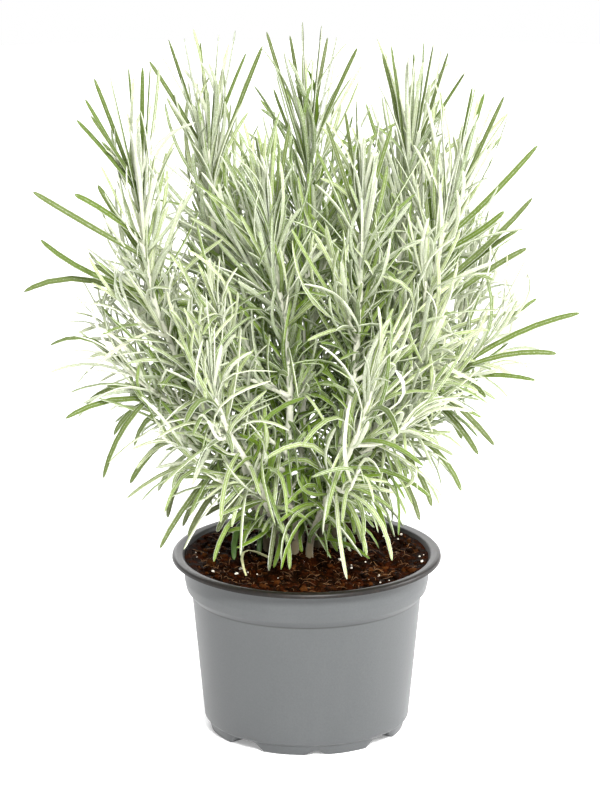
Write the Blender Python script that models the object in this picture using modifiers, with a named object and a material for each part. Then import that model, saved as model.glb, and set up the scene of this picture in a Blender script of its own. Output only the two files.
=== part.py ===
"""A curry plant in a round nursery pot.

The origin is on the pot's axis, at the surface that the pot stands on, and -Y is the front.
The pot is a thin moulded sheet, the compost fills it, and each leafy stem stands in a hole of its
own in the compost. A stem, its side shoots and its narrow leaves grow as one piece.
Sizes are in millimetres, and to_metres turns them into Blender's metres.
"""
import math
from collections import namedtuple

import bmesh
import bpy
import numpy as np
from mathutils import Matrix

OBJECT_NAME = "potted_curry_plant"

# Pot
SHEET = 0.8                 # wall thickness of the moulded sheet
SEGMENTS = 40               # round the pot and the compost
FLOOR_HEIGHT = 5.4          # middle of the raised floor
SOLE_HEIGHT = SHEET / 2     # middle of the sheet where it stands
NOTCH_TOP = 5.1             # the crease that the notches of the foot are pressed up to
# Radius and height of the middle of the sheet: the rim from its lip inward, the wall from the rim
# down, and the foot from the wall to the centre of the floor
RIM = ((64.6, 85.2), (64.4, 87.0), (63.2, 87.6), (60.4, 87.0))
WALL = ((58.6, 84.4), (58.6, 75.0), (57.8, 69.8), (54.8, 65.2), (50.6, 21.4), (49.1, 6.2))
FOOT = ((47.5, NOTCH_TOP), (46.4, SOLE_HEIGHT), (38.6, SOLE_HEIGHT), (37.2, FLOOR_HEIGHT),
        (0.0, FLOOR_HEIGHT))
NOTCH_COUNT = 4
FIRST_NOTCH = math.radians(-129.3)   # direction of one notch between two feet, from +X
# Share of the foot's height that is pressed up, by the angle from a notch's middle in degrees
NOTCH_ANGLES = (0.0, 9.0, 18.0, 36.0, 45.0)
NOTCH_SHARES = (1.0, 0.9, 0.0, 0.0, 0.4)
DRAIN_RADIUS = 4.0
DRAIN_SIDES = 10
DRAIN_DISTANCE = 28.0       # from the axis, in line with the notches
DRAIN_CUT = 6.0             # length of a drain's cutter, whose middle is in the floor

# Compost
COMPOST_CLEARANCE = 0.8     # from the middle of the pot's sheet, which leaves 0.4 to its face
COMPOST_FLOOR = 6.2
COMPOST_FLOOR_RADIUS = 47.4
COMPOST_EDGE = 82.6
COMPOST_RINGS = (10.0, 22.0, 34.0, 46.0)
MOUND_HEIGHT = 4.2
MOUND_SPREAD = 30.0
# Gentle lumps in its surface: height, then the wave's length over 2 pi and its phase, in X and Y
LUMPS = ((0.8, 7.0, 1.3, 6.0, 1.17), (0.5, 3.1, 0.0, 3.7, 2.0))
LUMPS_FADE = (45.0, 57.0)   # the radii between which the lumps run out
CROWN = (-4.0, 12.0)        # where the stems rise
HOLE_CLEARANCE = 0.6
HOLE_SIDES = 8
FOOT_LEVEL = 77.0           # lower ends of the stems
STRAIGHT_TO = 95.0          # the stems rise straight through the compost to here

# Leafy stems: the path (x, y, z) from foot to growing tip, the radius at both, and how wide the
# leaves open, as a share of the usual angle. A branch starts on its stem and is one piece with it.
Stem = namedtuple("Stem", "node path foot_radius tip_radius opening")
STEMS = (
    Stem("stem_front", ((-6, 1, FOOT_LEVEL), (-6, 1, STRAIGHT_TO), (-9, -4, 128), (-8, -12, 168),
                        (-10, -22, 203), (-15, -33, 240), (-19, -41, 276)), 2.1, 1.2, 0.62),
    Stem("stem_left", ((-20, 7, FOOT_LEVEL), (-20, 7, STRAIGHT_TO), (-33, -1, 138), (-50, -9, 166),
                       (-66, -15, 200), (-75, -19, 232), (-80, -23, 292)), 2.0, 1.0, 0.85),
    Stem("stem_back_left", ((-11, 14, FOOT_LEVEL), (-11, 14, STRAIGHT_TO), (-22, 20, 145),
                            (-36, 25, 198), (-44, 28, 238), (-48, 31, 298)), 1.9, 1.0, 1.0),
    Stem("stem_middle", ((-3, 13, FOOT_LEVEL), (-3, 13, STRAIGHT_TO), (-2, 15, 150),
                         (0, 18, 210), (1, 21, 304)), 1.9, 1.0, 1.0),
    Stem("stem_front_right", ((8, 5, FOOT_LEVEL), (8, 5, STRAIGHT_TO), (16, -6, 140),
                              (22, -16, 180), (25, -25, 220), (26, -34, 278)), 2.0, 1.1, 0.7),
    Stem("stem_right_top", ((6, 14, FOOT_LEVEL), (6, 14, STRAIGHT_TO), (22, 15, 142),
                            (38, 15, 195), (46, 16, 240), (51, 16, 298)), 1.9, 1.0, 0.9),
    Stem("stem_right", ((14, 9, FOOT_LEVEL), (14, 9, STRAIGHT_TO), (29, 1, 140), (46, -4, 180),
                        (57, -8, 213), (63, -11, 243), (73, -13, 284)), 1.9, 1.0, 0.9),
    Stem("stem_low_left", ((-14, -3, FOOT_LEVEL), (-14, -3, STRAIGHT_TO), (-24, -24, 132),
                           (-38, -48, 166), (-48, -64, 204)), 1.8, 1.0, 0.95),
    Stem("stem_low_right", ((2, -4, FOOT_LEVEL), (2, -4, STRAIGHT_TO), (12, -24, 128),
                            (24, -48, 162), (34, -64, 200)), 1.8, 1.0, 0.95),
    Stem("stem_rear_left", ((-13, 24, FOOT_LEVEL), (-13, 24, STRAIGHT_TO), (-23, 39, 145),
                            (-33, 54, 198), (-40, 64, 256)), 1.9, 1.0, 1.0),
    Stem("stem_rear", ((-3, 26, FOOT_LEVEL), (-3, 26, STRAIGHT_TO), (0, 47, 145), (4, 66, 196),
                       (6, 76, 244)), 1.9, 1.0, 1.0),
    Stem("stem_rear_right", ((7, 24, FOOT_LEVEL), (7, 24, STRAIGHT_TO), (22, 41, 148),
                             (35, 55, 200), (42, 64, 258)), 1.9, 1.0, 1.0),
    Stem("stem_far_left", ((-21, 17, FOOT_LEVEL), (-21, 17, STRAIGHT_TO), (-47, 30, 138),
                           (-72, 40, 176), (-88, 46, 222)), 1.8, 1.0, 1.0),
    Stem("stem_far_right", ((15, 18, FOOT_LEVEL), (15, 18, STRAIGHT_TO), (43, 29, 138),
                            (70, 38, 178), (84, 44, 224)), 1.8, 1.0, 1.0),
)
BRANCHES = (
    Stem("stem_front", ((-9, -4, 128), (-22, -9, 139), (-48, -14, 157), (-72, -17, 173),
                        (-93, -18, 192)), 1.5, 0.9, 0.9),
    Stem("stem_front", ((-8, -13, 170), (-18, -23, 178), (-30, -34, 188), (-38, -46, 212)),
         1.3, 0.9, 0.8),
    Stem("stem_right", ((27, 2, 136), (42, 1, 150), (59, 0, 168), (76, -4, 184), (90, -6, 200)),
         1.5, 0.9, 0.9),
)
# The step between the points of an axis's tube, its bevel resolution, where 1 gives six sides and
# 0 four, and how far apart its leaves stand, as a share of the usual spacing
AxisKind = namedtuple("AxisKind", "step detail spacing")
MAIN = AxisKind(20.0, 1, 1.0)
BRANCH = AxisKind(10.0, 1, 1.1)
SHOOT = AxisKind(20.0, 0, 1.4)
LINE_STEP = 3.0             # between the points of an axis's smooth line
AHEAD_SPAN = 4.0            # the length of an axis that gives its direction at a place
ACROSS_GUIDE = (0.1, 1.0, 0.05)     # turns round an axis start square to this and to the axis

# Side shoots, which the growth rule places in a spiral up each stem and branch
SHOOT_PLACES = (62.0, 98.0, 136.0)  # along the stem, from its foot
SHOOT_PLACE_SPREAD = 8.0
SHOOT_LENGTHS = (52.0, 30.0)    # the lowest and the highest
SHOOT_ANGLE = math.radians(42.0)
SHOOT_RISE = 0.6            # how strongly a shoot's outer half turns up
SHOOT_RADII = (1.1, 0.7)
SHOOT_OPENING = 0.9
SHOOT_GAP = 3.0             # to everything that has grown, past the shoot's root
SHOOT_ROOT_SHARE = 0.35
BARE_TOP = 35.0             # length of a stem's top that bears no shoots
INWARD_LIMIT = -60.0        # how far a shoot may point back over the crown

# Leaves, which the growth rule places in a spiral down each axis from its tip.
# The values go with the age of a leaf, which is its distance from the growing tip.
GOLDEN_TURN = math.radians(137.5)
LEAF_AGES = (0.0, 12.0, 35.0, 70.0, 120.0, 180.0)
LEAF_ANGLES = (8.0, 20.0, 37.0, 54.0, 66.0, 74.0)
LEAF_LENGTHS = (24.0, 36.0, 46.0, 48.0, 44.0, 38.0)
LEAF_WIDTHS = (1.3, 1.7, 2.2, 2.4, 2.4, 2.2)
LEAF_SPACINGS = (4.0, 5.0, 6.2, 7.4, 10.5, 16.0)
LEAF_THICKNESS = 1.0
TIP_MARGIN = 1.0            # from an axis's tip to its first leaf
FOOT_MARGIN = 2.0           # from an axis's foot to its last leaf
# The share of a leaf's greatest width along it: narrower at the root, widest half way, pointed
WIDTH_PLACES = (0.0, 0.2, 0.5, 0.75, 0.92, 1.0)
WIDTH_SHARES = (0.3, 0.8, 1.0, 0.8, 0.4, 0.0)
ANGLE_SPREAD = 5.0
LENGTH_SPREAD = (0.85, 1.1)
TURN_SPREAD = (0.1, 0.25)   # at the first try, and added at each later one
# How far a leaf's outer half sinks, by the height of its root, and the share its inner half sinks
DROOP_HEIGHTS = (100.0, 135.0, 170.0, 215.0, 270.0)
DROOPS = (1.3, 0.95, 0.5, 0.15, 0.0)
DROOP_SPREAD = (0.6, 1.3)
INNER_DROOP = 0.35
WAVER = 0.12                # how far a leaf's outer half turns aside
LOWEST_LEAF = 104.0         # height of the lowest leaf's root
LOWEST_TIP = 90.0
ENVELOPE = (126.0, 110.0, 342.0)    # half width, half depth and height of the seeded growth
KNEE = 0.5                  # share of a leaf's length where it bends
LEAST_BEND = 4.0            # a leaf that bends less than this is made straight
STRAIGHT_ROOT = 0.65        # a straight leaf's width at its root, as a share of its greatest
BENT_ROOT = 0.35            # the same for a bent leaf, which is widest at its knee
CONE_SIDES = 3              # round a leaf's blade
CONE_WIDTH = 2 * math.sin(math.radians(60))     # of such a cone with a radius of 1
CONE_HEIGHT = 1.5
ROOT_SHARE = 0.12           # part of a leaf, at its root, that may touch its own stem's growth
NODE_GAP = 1.1              # between two stems' growth
OWN_GAP = 0.2               # between leaves of one stem
OUTLINE_OWN_GAP = -0.7      # the outline's leaves may lie against each other
TRIES = 8
SHOOT_SEED = 11
LEAF_SEED = 23
SPOT_STEP = 2.0             # between the test points along a leaf or axis
SPOT_REACH = 6.0            # test points farther apart than this are never compared

# Colours, as linear red, green and blue
GREY_PLASTIC = (0.25, 0.26, 0.26)
MOIST_PEAT = (0.05, 0.026, 0.017)
WOOLLY_GREEN = (0.50, 0.60, 0.38)

# Leaves whose tips draw the plant's outline: the tips of each tuft, and the outer leaves below with
# their root, knee and tip
TUFT_TIPS = {
    "stem_left": ((-104, -20, 318), (-108, -24, 309), (-101, -32, 313), (-100, -12, 326),
                  (-92, -27, 333), (-84, -8, 330), (-77, -22, 333), (-73, -34, 338)),
    "stem_back_left": ((-75, 30, 324), (-66, 40, 332), (-58, 18, 338), (-51, 44, 330),
                       (-42, 30, 337), (-34, 22, 341), (-29, 38, 326), (-21, 20, 334)),
    "stem_middle": ((-19, 15, 342), (-8, 32, 336), (-2, 20, 347), (7, 22, 344), (14, 8, 341),
                    (24, 20, 333), (-10, 6, 330), (10, 36, 334)),
    "stem_right_top": ((36, 20, 330), (40, 8, 337), (51, 26, 329), (60, 15, 337),
                       (67, 8, 334), (75, 15, 322), (48, 4, 334)),
    "stem_right": ((63, -22, 320), (78, -8, 321), (79, -18, 324), (84, 0, 316), (87, -22, 317),
                   (93, -10, 317), (91, 5, 294), (85, -27, 282)),
    "stem_front_right": ((23, -36, 321), (18, -28, 314), (9, -36, 311), (34, -36, 316),
                         (40, -25, 306), (27, -46, 308)),
    "stem_front": ((-16, -44, 308), (-24, -42, 305), (-8, -40, 311), (-19, -52, 300)),
}
TUFT_ROOTS = (5.0, 3.4)     # the first root below the growing tip, and the spacing of the next
TUFT_BOW = 1.5
KNEE_SHIFT = 0.6            # the knee's share of a leaf's shift in depth
DEPTH_SHIFTS = (0.0, -3.0, 3.0, -6.0, 6.0, -9.0, 9.0, -13.0, 13.0, -17.0, 17.0)
TUFT_WIDTH = 1.8
OUTER_WIDTH = 2.4
OUTER_LEAVES = (
    ("stem_left", (-77, -20, 240), (-105, -20, 258), (-129, -20, 273)),
    ("stem_left", (-78, -22, 250), (-95, -27, 266), (-109, -32, 275)),
    ("stem_left", (-77, -20, 238), (-88, -12, 256), (-99, -4, 272)),
    ("stem_left", (-74, -19, 222), (-103, -28, 236), (-125, -36, 254)),
    ("stem_left", (-70, -17, 214), (-104, -20, 230), (-134, -20, 224)),
    ("stem_left", (-68, -16, 206), (-86, -2, 221), (-102, 10, 229)),
    ("stem_front", (-85, -18, 184), (-103, -18, 200), (-122, -18, 197)),
    ("stem_front", (-56, -15, 162), (-86, -16, 170), (-115, -16, 160)),
    ("stem_front", (-73, -17, 174), (-90, -4, 172), (-106, 5, 161)),
    ("stem_front", (-72, -17, 173), (-88, -22, 156), (-97, -28, 134)),
    ("stem_front", (-68, -16, 170), (-83, -2, 160), (-93, 9, 144)),
    ("stem_front", (-60, -15, 165), (-75, -4, 157), (-83, 4, 140)),
    ("stem_front", (-50, -14, 158), (-71, -10, 143), (-85, -8, 122)),
    ("stem_left", (-35, -2, 141), (-56, -22, 121), (-70, -32, 100)),
    ("stem_left", (-43, -5, 154), (-60, 0, 128), (-67, 0, 105)),
    ("stem_left", (-34, -1, 138), (-49, 4, 121), (-60, 8, 98)),
    ("stem_left", (-31, 0, 132), (-46, -10, 119), (-57, -14, 100)),
    ("stem_left", (-24, 5, 112), (-38, 8, 110), (-50, 8, 103)),
    ("stem_front", (-20, -8, 138), (-34, -16, 120), (-43, -22, 105)),
    ("stem_right", (65, -11, 250), (84, -10, 266), (109, -10, 293)),
    ("stem_right", (59, -9, 222), (84, -8, 242), (107, -5, 266)),
    ("stem_right", (56, -8, 208), (84, 4, 226), (105, 10, 237)),
    ("stem_right", (63, -11, 240), (80, -17, 252), (93, -22, 264)),
    ("stem_right", (58, -8, 216), (82, 0, 236), (101, 4, 248)),
    ("stem_right", (76, -4, 184), (103, -7, 201), (130, -8, 210)),
    ("stem_right", (72, -3, 181), (97, -9, 190), (119, -12, 191)),
    ("stem_right", (66, -2, 175), (88, -10, 180), (109, -16, 179)),
    ("stem_right", (87, -6, 197), (100, 1, 207), (110, 6, 213)),
    ("stem_right", (86, -5, 195), (94, -10, 211), (99, -14, 222)),
    ("stem_right", (46, -4, 180), (69, -20, 170), (89, -30, 151)),
    ("stem_right", (57, 0, 166), (70, -10, 158), (82, -16, 142)),
    ("stem_right", (55, 0, 164), (67, 7, 156), (75, 12, 141)),
    ("stem_right", (44, 1, 152), (63, -10, 141), (74, -17, 124)),
    ("stem_right", (38, 1, 147), (53, -6, 131), (60, -10, 114)),
    ("stem_right", (32, 1, 139), (46, -16, 130), (54, -26, 112)),
    ("stem_right", (27, 2, 136), (36, -1, 130), (39, -6, 115)),
    ("stem_front_right", (17, -8, 146), (31, -21, 135), (40, -30, 118)),
    ("stem_right", (62, 0, 171), (76, 6, 172), (86, 8, 163)),
    ("stem_front", (-9, -5, 130), (-14, -22, 114), (-18, -36, 90)),
    ("stem_front_right", (12, -1, 124), (19, -16, 122), (26, -27, 101)),
    ("stem_front", (-8, -10, 156), (6, -24, 140), (15, -32, 116)),
    ("stem_low_left", (-42, -54, 178), (-49, -82, 192), (-56, -112, 188)),
    ("stem_low_right", (28, -54, 176), (36, -82, 188), (42, -112, 182)),
    ("stem_rear", (4, 68, 210), (8, 92, 224), (12, 112, 220)),
    ("stem_rear_left", (-35, 58, 214), (-46, 84, 226), (-56, 106, 220)),
    ("stem_rear_right", (38, 60, 216), (50, 84, 230), (58, 106, 224)),
)


def unit(vector):
    return vector / np.linalg.norm(vector)


def smooth_line(path):
    """Points on a smooth curve through the points of a path."""
    knots = np.array(path, float)
    knots = np.vstack((2 * knots[0] - knots[1], knots, 2 * knots[-1] - knots[-2]))
    line = []
    for before, start, end, after in zip(knots, knots[1:], knots[2:], knots[3:]):
        count = max(1, round(np.linalg.norm(end - start) / LINE_STEP))
        for share in np.arange(count) / count:
            line.append(0.5 * (2 * start + (end - before) * share
                               + (2 * before - 5 * start + 4 * end - after) * share ** 2
                               + (3 * start - before - 3 * end + after) * share ** 3))
    return np.array(line + [knots[-2]])


class Axis:
    """The middle line of a stem or shoot, and its thickness along it."""

    def __init__(self, stem, kind):
        self.node = stem.node
        self.opening = stem.opening
        self.kind = kind
        self.line = smooth_line(stem.path)
        steps = np.linalg.norm(np.diff(self.line, axis=0), axis=1)
        self.along = np.concatenate(((0.0,), np.cumsum(steps)))
        self.length = self.along[-1]
        self.radii = (stem.foot_radius, stem.tip_radius)

    def at(self, along):
        """The point, or points, so far along the axis."""
        return np.stack([np.interp(along, self.along, column) for column in self.line.T], axis=-1)

    def ahead(self, along):
        start = min(max(along - AHEAD_SPAN / 2, 0.0), self.length - AHEAD_SPAN)
        return unit(self.at(start + AHEAD_SPAN) - self.at(start))

    def radius(self, along):
        return np.interp(along, (0.0, self.length), self.radii)

    def spots(self):
        """Test points with their radius, for keeping other growth clear."""
        places = np.arange(0.0, self.length, SPOT_STEP)
        return np.column_stack((self.at(places), self.radius(places)))

    def nearest(self, point):
        """Where along this axis a point lies nearest, and how far from it."""
        places = np.arange(0.0, self.length, 1.0)
        gaps = np.linalg.norm(self.at(places) - point, axis=1)
        return places[gaps.argmin()], gaps.min()


class Leaf:
    """A narrow leaf through its root, knee and tip, whose upper face turns to the shoot's tip."""

    def __init__(self, axis, place, knee, tip, width):
        self.node = axis.node
        self.root = axis.at(place)
        self.knee, self.tip, self.width = knee, tip, width
        self.side = unit(np.cross(tip - self.root, axis.ahead(place)))

    def line(self, shares):
        """Points on the smooth curve from root to tip that passes through the knee."""
        shares = np.asarray(shares, float)[:, None]
        pull = 2 * self.knee - (self.root + self.tip) / 2
        return (self.root * (1 - shares) ** 2 + 2 * pull * shares * (1 - shares)
                + self.tip * shares ** 2)

    def bend(self):
        """How far the knee lies from the straight line between root and tip."""
        chord = unit(self.tip - self.root)
        return np.linalg.norm(np.cross(chord, self.knee - self.root))

    def half_width(self, shares):
        return self.width / 2 * np.interp(shares, WIDTH_PLACES, WIDTH_SHARES)

    def spots(self):
        """Test points from root to tip, on the curve and on the straight line under it."""
        shares = np.linspace(0.0, 1.0, round(np.linalg.norm(self.tip - self.root) / SPOT_STEP))
        straight = self.root + np.outer(shares, self.tip - self.root)
        widths = self.half_width(shares)
        both = np.stack((np.column_stack((self.line(shares), widths)),
                         np.column_stack((straight, widths))), axis=1)
        return both.reshape(-1, 4) if self.bend() < LEAST_BEND else both[:, 0]


class Crowd:
    """Test points along all that has grown, so that new growth keeps clear of it."""

    def __init__(self):
        self.spots = np.empty((0, 4))
        self.nodes = np.empty(0, dtype=int)
        self.names = []

    def number(self, node):
        if node not in self.names:
            self.names.append(node)
        return self.names.index(node)

    def add(self, node, spots):
        self.spots = np.vstack((self.spots, spots))
        self.nodes = np.append(self.nodes, [self.number(node)] * len(spots))

    def least_gap(self, spots, among):
        """The least gap between these spots and the crowd's spots that the mask picks."""
        spots = np.asarray(spots)
        low = spots[:, :3].min(axis=0) - SPOT_REACH
        high = spots[:, :3].max(axis=0) + SPOT_REACH
        near = among & np.all((self.spots[:, :3] > low) & (self.spots[:, :3] < high), axis=1)
        if not near.any():
            return SPOT_REACH
        others = self.spots[near]
        apart = np.linalg.norm(others[:, None, :3] - spots[None, :, :3], axis=2)
        return (apart - others[:, None, 3] - spots[None, :, 3]).min()

    def has_room(self, node, spots, node_gap, own_gap, root_share):
        """Whether a leaf or shoot clears the other stems, and past its root its own stem too."""
        own = self.nodes == self.number(node)
        if self.least_gap(spots, ~own) < node_gap:
            return False
        free_part = spots[math.ceil(len(spots) * root_share):]
        return self.least_gap(free_part, own) > own_gap


def inside_envelope(tip):
    half_width, half_depth, height = ENVELOPE
    round_enough = (tip[0] / half_width) ** 2 + (tip[1] / half_depth) ** 2 <= 1.0
    return round_enough and LOWEST_TIP <= tip[2] <= height


def outward_from(ahead, turn):
    """The direction square to an axis at a turn round it."""
    across = unit(np.cross(ahead, ACROSS_GUIDE))
    return across * math.cos(turn) + np.cross(ahead, across) * math.sin(turn)


def leaf_by_rule(axis, place, turn, random):
    """A leaf that leaves an axis at a place and turn, opened and bent by its age and height."""
    age = axis.length - place
    root = axis.at(place)
    ahead = axis.ahead(place)
    angle = math.radians(np.interp(age, LEAF_AGES, LEAF_ANGLES) * axis.opening
                         + random.normal(0.0, ANGLE_SPREAD))
    length = np.interp(age, LEAF_AGES, LEAF_LENGTHS) * random.uniform(*LENGTH_SPREAD)
    droop = np.interp(root[2], DROOP_HEIGHTS, DROOPS) * random.uniform(*DROOP_SPREAD)
    down = np.array((0.0, 0.0, -droop))
    start = unit(ahead * math.cos(angle) + outward_from(ahead, turn) * math.sin(angle)
                 + INNER_DROOP * down)
    end = unit(start + down + WAVER * random.normal(size=3))
    knee = root + start * length * KNEE
    tip = knee + end * length * (1 - KNEE)
    return Leaf(axis, place, knee, tip, np.interp(age, LEAF_AGES, LEAF_WIDTHS))


def shoot_by_rule(parent, place, length, turn):
    """A side shoot that leaves its parent at a place and turn, and then rises."""
    root, ahead = parent.at(place), parent.ahead(place)
    start = unit(ahead + outward_from(ahead, turn) * math.tan(SHOOT_ANGLE))
    end = unit(start + (0.0, 0.0, SHOOT_RISE))
    knee = root + start * length / 2
    path = (root, knee, knee + end * length / 2)
    return Axis(Stem(parent.node, path, *SHOOT_RADII, SHOOT_OPENING), SHOOT)


def grow_shoots(axes, crowd, random):
    """Side shoots in a spiral round each stem, where they have room."""
    shoots = []
    for parent in axes:
        for order, place in enumerate(SHOOT_PLACES):
            length = np.interp(order, (0, len(SHOOT_PLACES) - 1), SHOOT_LENGTHS)
            for _ in range(TRIES if place < parent.length - BARE_TOP else 0):
                turn = order * GOLDEN_TURN + random.uniform(0.0, 2 * math.pi)
                spread = random.uniform(-SHOOT_PLACE_SPREAD, SHOOT_PLACE_SPREAD)
                shoot = shoot_by_rule(parent, place + spread, length, turn)
                root, tip = shoot.line[0], shoot.line[-1]
                outward = np.dot(tip[:2] - root[:2], root[:2] - CROWN)
                spots = shoot.spots()
                if outward > INWARD_LIMIT and crowd.has_room(parent.node, spots, SHOOT_GAP,
                                                             SHOOT_GAP, SHOOT_ROOT_SHARE):
                    crowd.add(parent.node, spots)
                    shoots.append(shoot)
                    break
    return shoots


def outline_targets(axes):
    """For each leaf of the outline: its axis, its place there, knee, tip and width."""
    targets = []
    for node, tips in TUFT_TIPS.items():
        axis = next(axis for axis in axes if axis.node == node)
        far_first = sorted(tips, key=lambda tip: -np.linalg.norm(tip - axis.line[-1]))
        for order, tip in enumerate(reversed(far_first)):
            place = axis.length - TUFT_ROOTS[0] - TUFT_ROOTS[1] * order
            root = axis.at(place)
            knee = (root + tip) / 2 + unit(axis.line[-1] - root) * TUFT_BOW
            targets.append((axis, place, knee, np.array(tip, float), TUFT_WIDTH))
    for node, root, knee, tip in OUTER_LEAVES:
        own = [axis for axis in axes if axis.node == node]
        axis = min(own, key=lambda axis: axis.nearest(np.array(root))[1])
        place, _ = axis.nearest(np.array(root))
        targets.append((axis, place, np.array(knee, float), np.array(tip, float), OUTER_WIDTH))
    return targets


def grow_outline(axes, crowd):
    """The outline's leaves, each bent clear of the other stems in the direction of the view."""
    leaves = []
    for axis, place, knee, tip, width in outline_targets(axes):
        for shift in DEPTH_SHIFTS:
            leaf = Leaf(axis, place, knee + (0, shift * KNEE_SHIFT, 0), tip + (0, shift, 0),
                        width)
            spots = leaf.spots()
            if crowd.has_room(leaf.node, spots, NODE_GAP, OUTLINE_OWN_GAP, ROOT_SHARE):
                crowd.add(leaf.node, spots)
                leaves.append(leaf)
                break
    return leaves


def grow_leaves(axes, crowd, random):
    """Leaves in a spiral down each axis from its tip, each where it has room."""
    leaves = []
    for axis in axes:
        place = axis.length - TIP_MARGIN
        order = 0
        while place > FOOT_MARGIN and axis.at(place)[2] > LOWEST_LEAF:
            for attempt in range(TRIES):
                spread = TURN_SPREAD[0] + TURN_SPREAD[1] * attempt
                turn = order * GOLDEN_TURN + random.normal(0.0, spread)
                leaf = leaf_by_rule(axis, place, turn, random)
                spots = leaf.spots()
                if inside_envelope(leaf.tip) and crowd.has_room(axis.node, spots, NODE_GAP,
                                                                OWN_GAP, ROOT_SHARE):
                    crowd.add(axis.node, spots)
                    leaves.append(leaf)
                    break
            age = axis.length - place
            place -= np.interp(age, LEAF_AGES, LEAF_SPACINGS) * axis.kind.spacing
            order += 1
    return leaves


def grow_plant():
    """Every axis and leaf of the plant, stems before branches before side shoots."""
    crowd = Crowd()
    axes = [Axis(stem, MAIN) for stem in STEMS]
    axes += [Axis(branch, BRANCH) for branch in BRANCHES]
    for axis in axes:
        crowd.add(axis.node, axis.spots())
    axes += grow_shoots(axes, crowd, np.random.default_rng(SHOOT_SEED))
    leaves = grow_outline(axes, crowd)
    leaves += grow_leaves(axes, crowd, np.random.default_rng(LEAF_SEED))
    return axes, leaves


def to_metres(points):
    return np.asarray(points, float) * 0.001


def plain_material(name, colour, roughness):
    material = bpy.data.materials.new(name)
    material.use_nodes = True
    shader = material.node_tree.nodes["Principled BSDF"]
    shader.inputs["Base Color"].default_value = (*colour, 1.0)
    shader.inputs["Roughness"].default_value = roughness
    shader.inputs["Metallic"].default_value = 0.0
    return material


def add_object(name, mesh, collection, material=None):
    piece = bpy.data.objects.new(name, mesh)
    collection.objects.link(piece)
    if material:
        mesh.materials.clear()
        mesh.materials.append(material)
    return piece


def add_collection(name):
    collection = bpy.data.collections.new(name)
    bpy.context.scene.collection.children.link(collection)
    return collection


def as_cutter(piece):
    piece.hide_render = True
    piece.display_type = "WIRE"


def apply_modifiers(piece):
    graph = bpy.context.evaluated_depsgraph_get()
    piece.data = bpy.data.meshes.new_from_object(piece.evaluated_get(graph))
    piece.modifiers.clear()


def remove_collection(collection):
    for piece in list(collection.objects):
        bpy.data.objects.remove(piece)
    bpy.data.collections.remove(collection)


def turned(name, profile, collection, material):
    """A shape turned about Z from radii and heights that run down its outer side."""
    mesh = bpy.data.meshes.new(name)
    corners = [to_metres((radius, 0.0, height)) for radius, height in profile]
    mesh.from_pydata(corners, [(count, count + 1) for count in range(len(corners) - 1)], [])
    piece = add_object(name, mesh, collection, material)
    screw = piece.modifiers.new("turn", "SCREW")
    screw.angle = 2 * math.pi
    screw.steps = SEGMENTS
    screw.render_steps = SEGMENTS
    screw.use_merge_vertices = True
    screw.merge_threshold = 0.00001
    apply_modifiers(piece)
    return piece


def shade_round(piece, angle=35.0):
    piece.data.shade_smooth()
    piece.data.set_sharp_from_angle(angle=math.radians(angle))


def cylinder_mesh(name, radius, length, sides):
    """A cylinder from z = 0 up."""
    mesh = bpy.data.meshes.new(name)
    cylinder = bmesh.new()
    bmesh.ops.create_cone(cylinder, cap_ends=True, segments=sides, radius1=radius / 1000,
                          radius2=radius / 1000, depth=length / 1000,
                          matrix=Matrix.Translation((0.0, 0.0, length / 2000)))
    cylinder.to_mesh(mesh)
    cylinder.free()
    return mesh


def cut(piece, cutters, name):
    hole = piece.modifiers.new(name, "BOOLEAN")
    hole.operation = "DIFFERENCE"
    hole.operand_type = "COLLECTION"
    hole.collection = cutters


def foot_lift(x, y):
    """The share of the foot's height that is pressed up in this direction from the axis."""
    pitch = 2 * math.pi / NOTCH_COUNT
    turn = (math.atan2(y, x) - FIRST_NOTCH + pitch / 2) % pitch - pitch / 2
    return np.interp(abs(math.degrees(turn)), NOTCH_ANGLES, NOTCH_SHARES)


def make_pot(collection, cutters):
    """A turned sheet with notches pressed up into its foot, and drain holes in its floor."""
    plastic = plain_material("grey plastic", GREY_PLASTIC, 0.5)
    pot = turned("pot", RIM + WALL + FOOT, collection, plastic)
    pot.data.transform(Matrix.Rotation(FIRST_NOTCH, 4, "Z"))
    notch_top = NOTCH_TOP / 1000
    for vertex in pot.data.vertices:
        if vertex.co.z < notch_top:
            lift = foot_lift(vertex.co.x, vertex.co.y)
            vertex.co.z += lift * (notch_top - vertex.co.z)
    sheet = pot.modifiers.new("sheet", "SOLIDIFY")
    sheet.thickness = SHEET / 1000
    sheet.offset = 0.0
    sheet.use_even_offset = True
    hole = cylinder_mesh("drain", DRAIN_RADIUS, DRAIN_CUT, DRAIN_SIDES)
    for count in range(NOTCH_COUNT):
        angle = FIRST_NOTCH + 2 * math.pi * count / NOTCH_COUNT
        drain = add_object("drain cutter", hole, cutters)
        drain.location = to_metres((DRAIN_DISTANCE * math.cos(angle),
                                    DRAIN_DISTANCE * math.sin(angle),
                                    FLOOR_HEIGHT - DRAIN_CUT / 2))
        as_cutter(drain)
    cut(pot, cutters, "drain holes")
    shade_round(pot)


def compost_height(x, y):
    """The compost's surface: a low mound round the crown, with gentle lumps inside the edge."""
    mound = MOUND_HEIGHT * math.exp(-((x - CROWN[0]) ** 2 + (y - CROWN[1]) ** 2)
                                    / MOUND_SPREAD ** 2)
    lumps = sum(height * math.sin(x / length_x + phase_x) * math.sin(y / length_y + phase_y)
                for height, length_x, phase_x, length_y, phase_y in LUMPS)
    inside = np.interp(math.hypot(x, y), LUMPS_FADE, (1.0, 0.0))
    return COMPOST_EDGE + mound + lumps * inside


def wall_radius(height):
    """The radius of the middle of the pot's wall at a height."""
    radii, heights = zip(*reversed(WALL))
    return np.interp(height, heights, radii)


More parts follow.
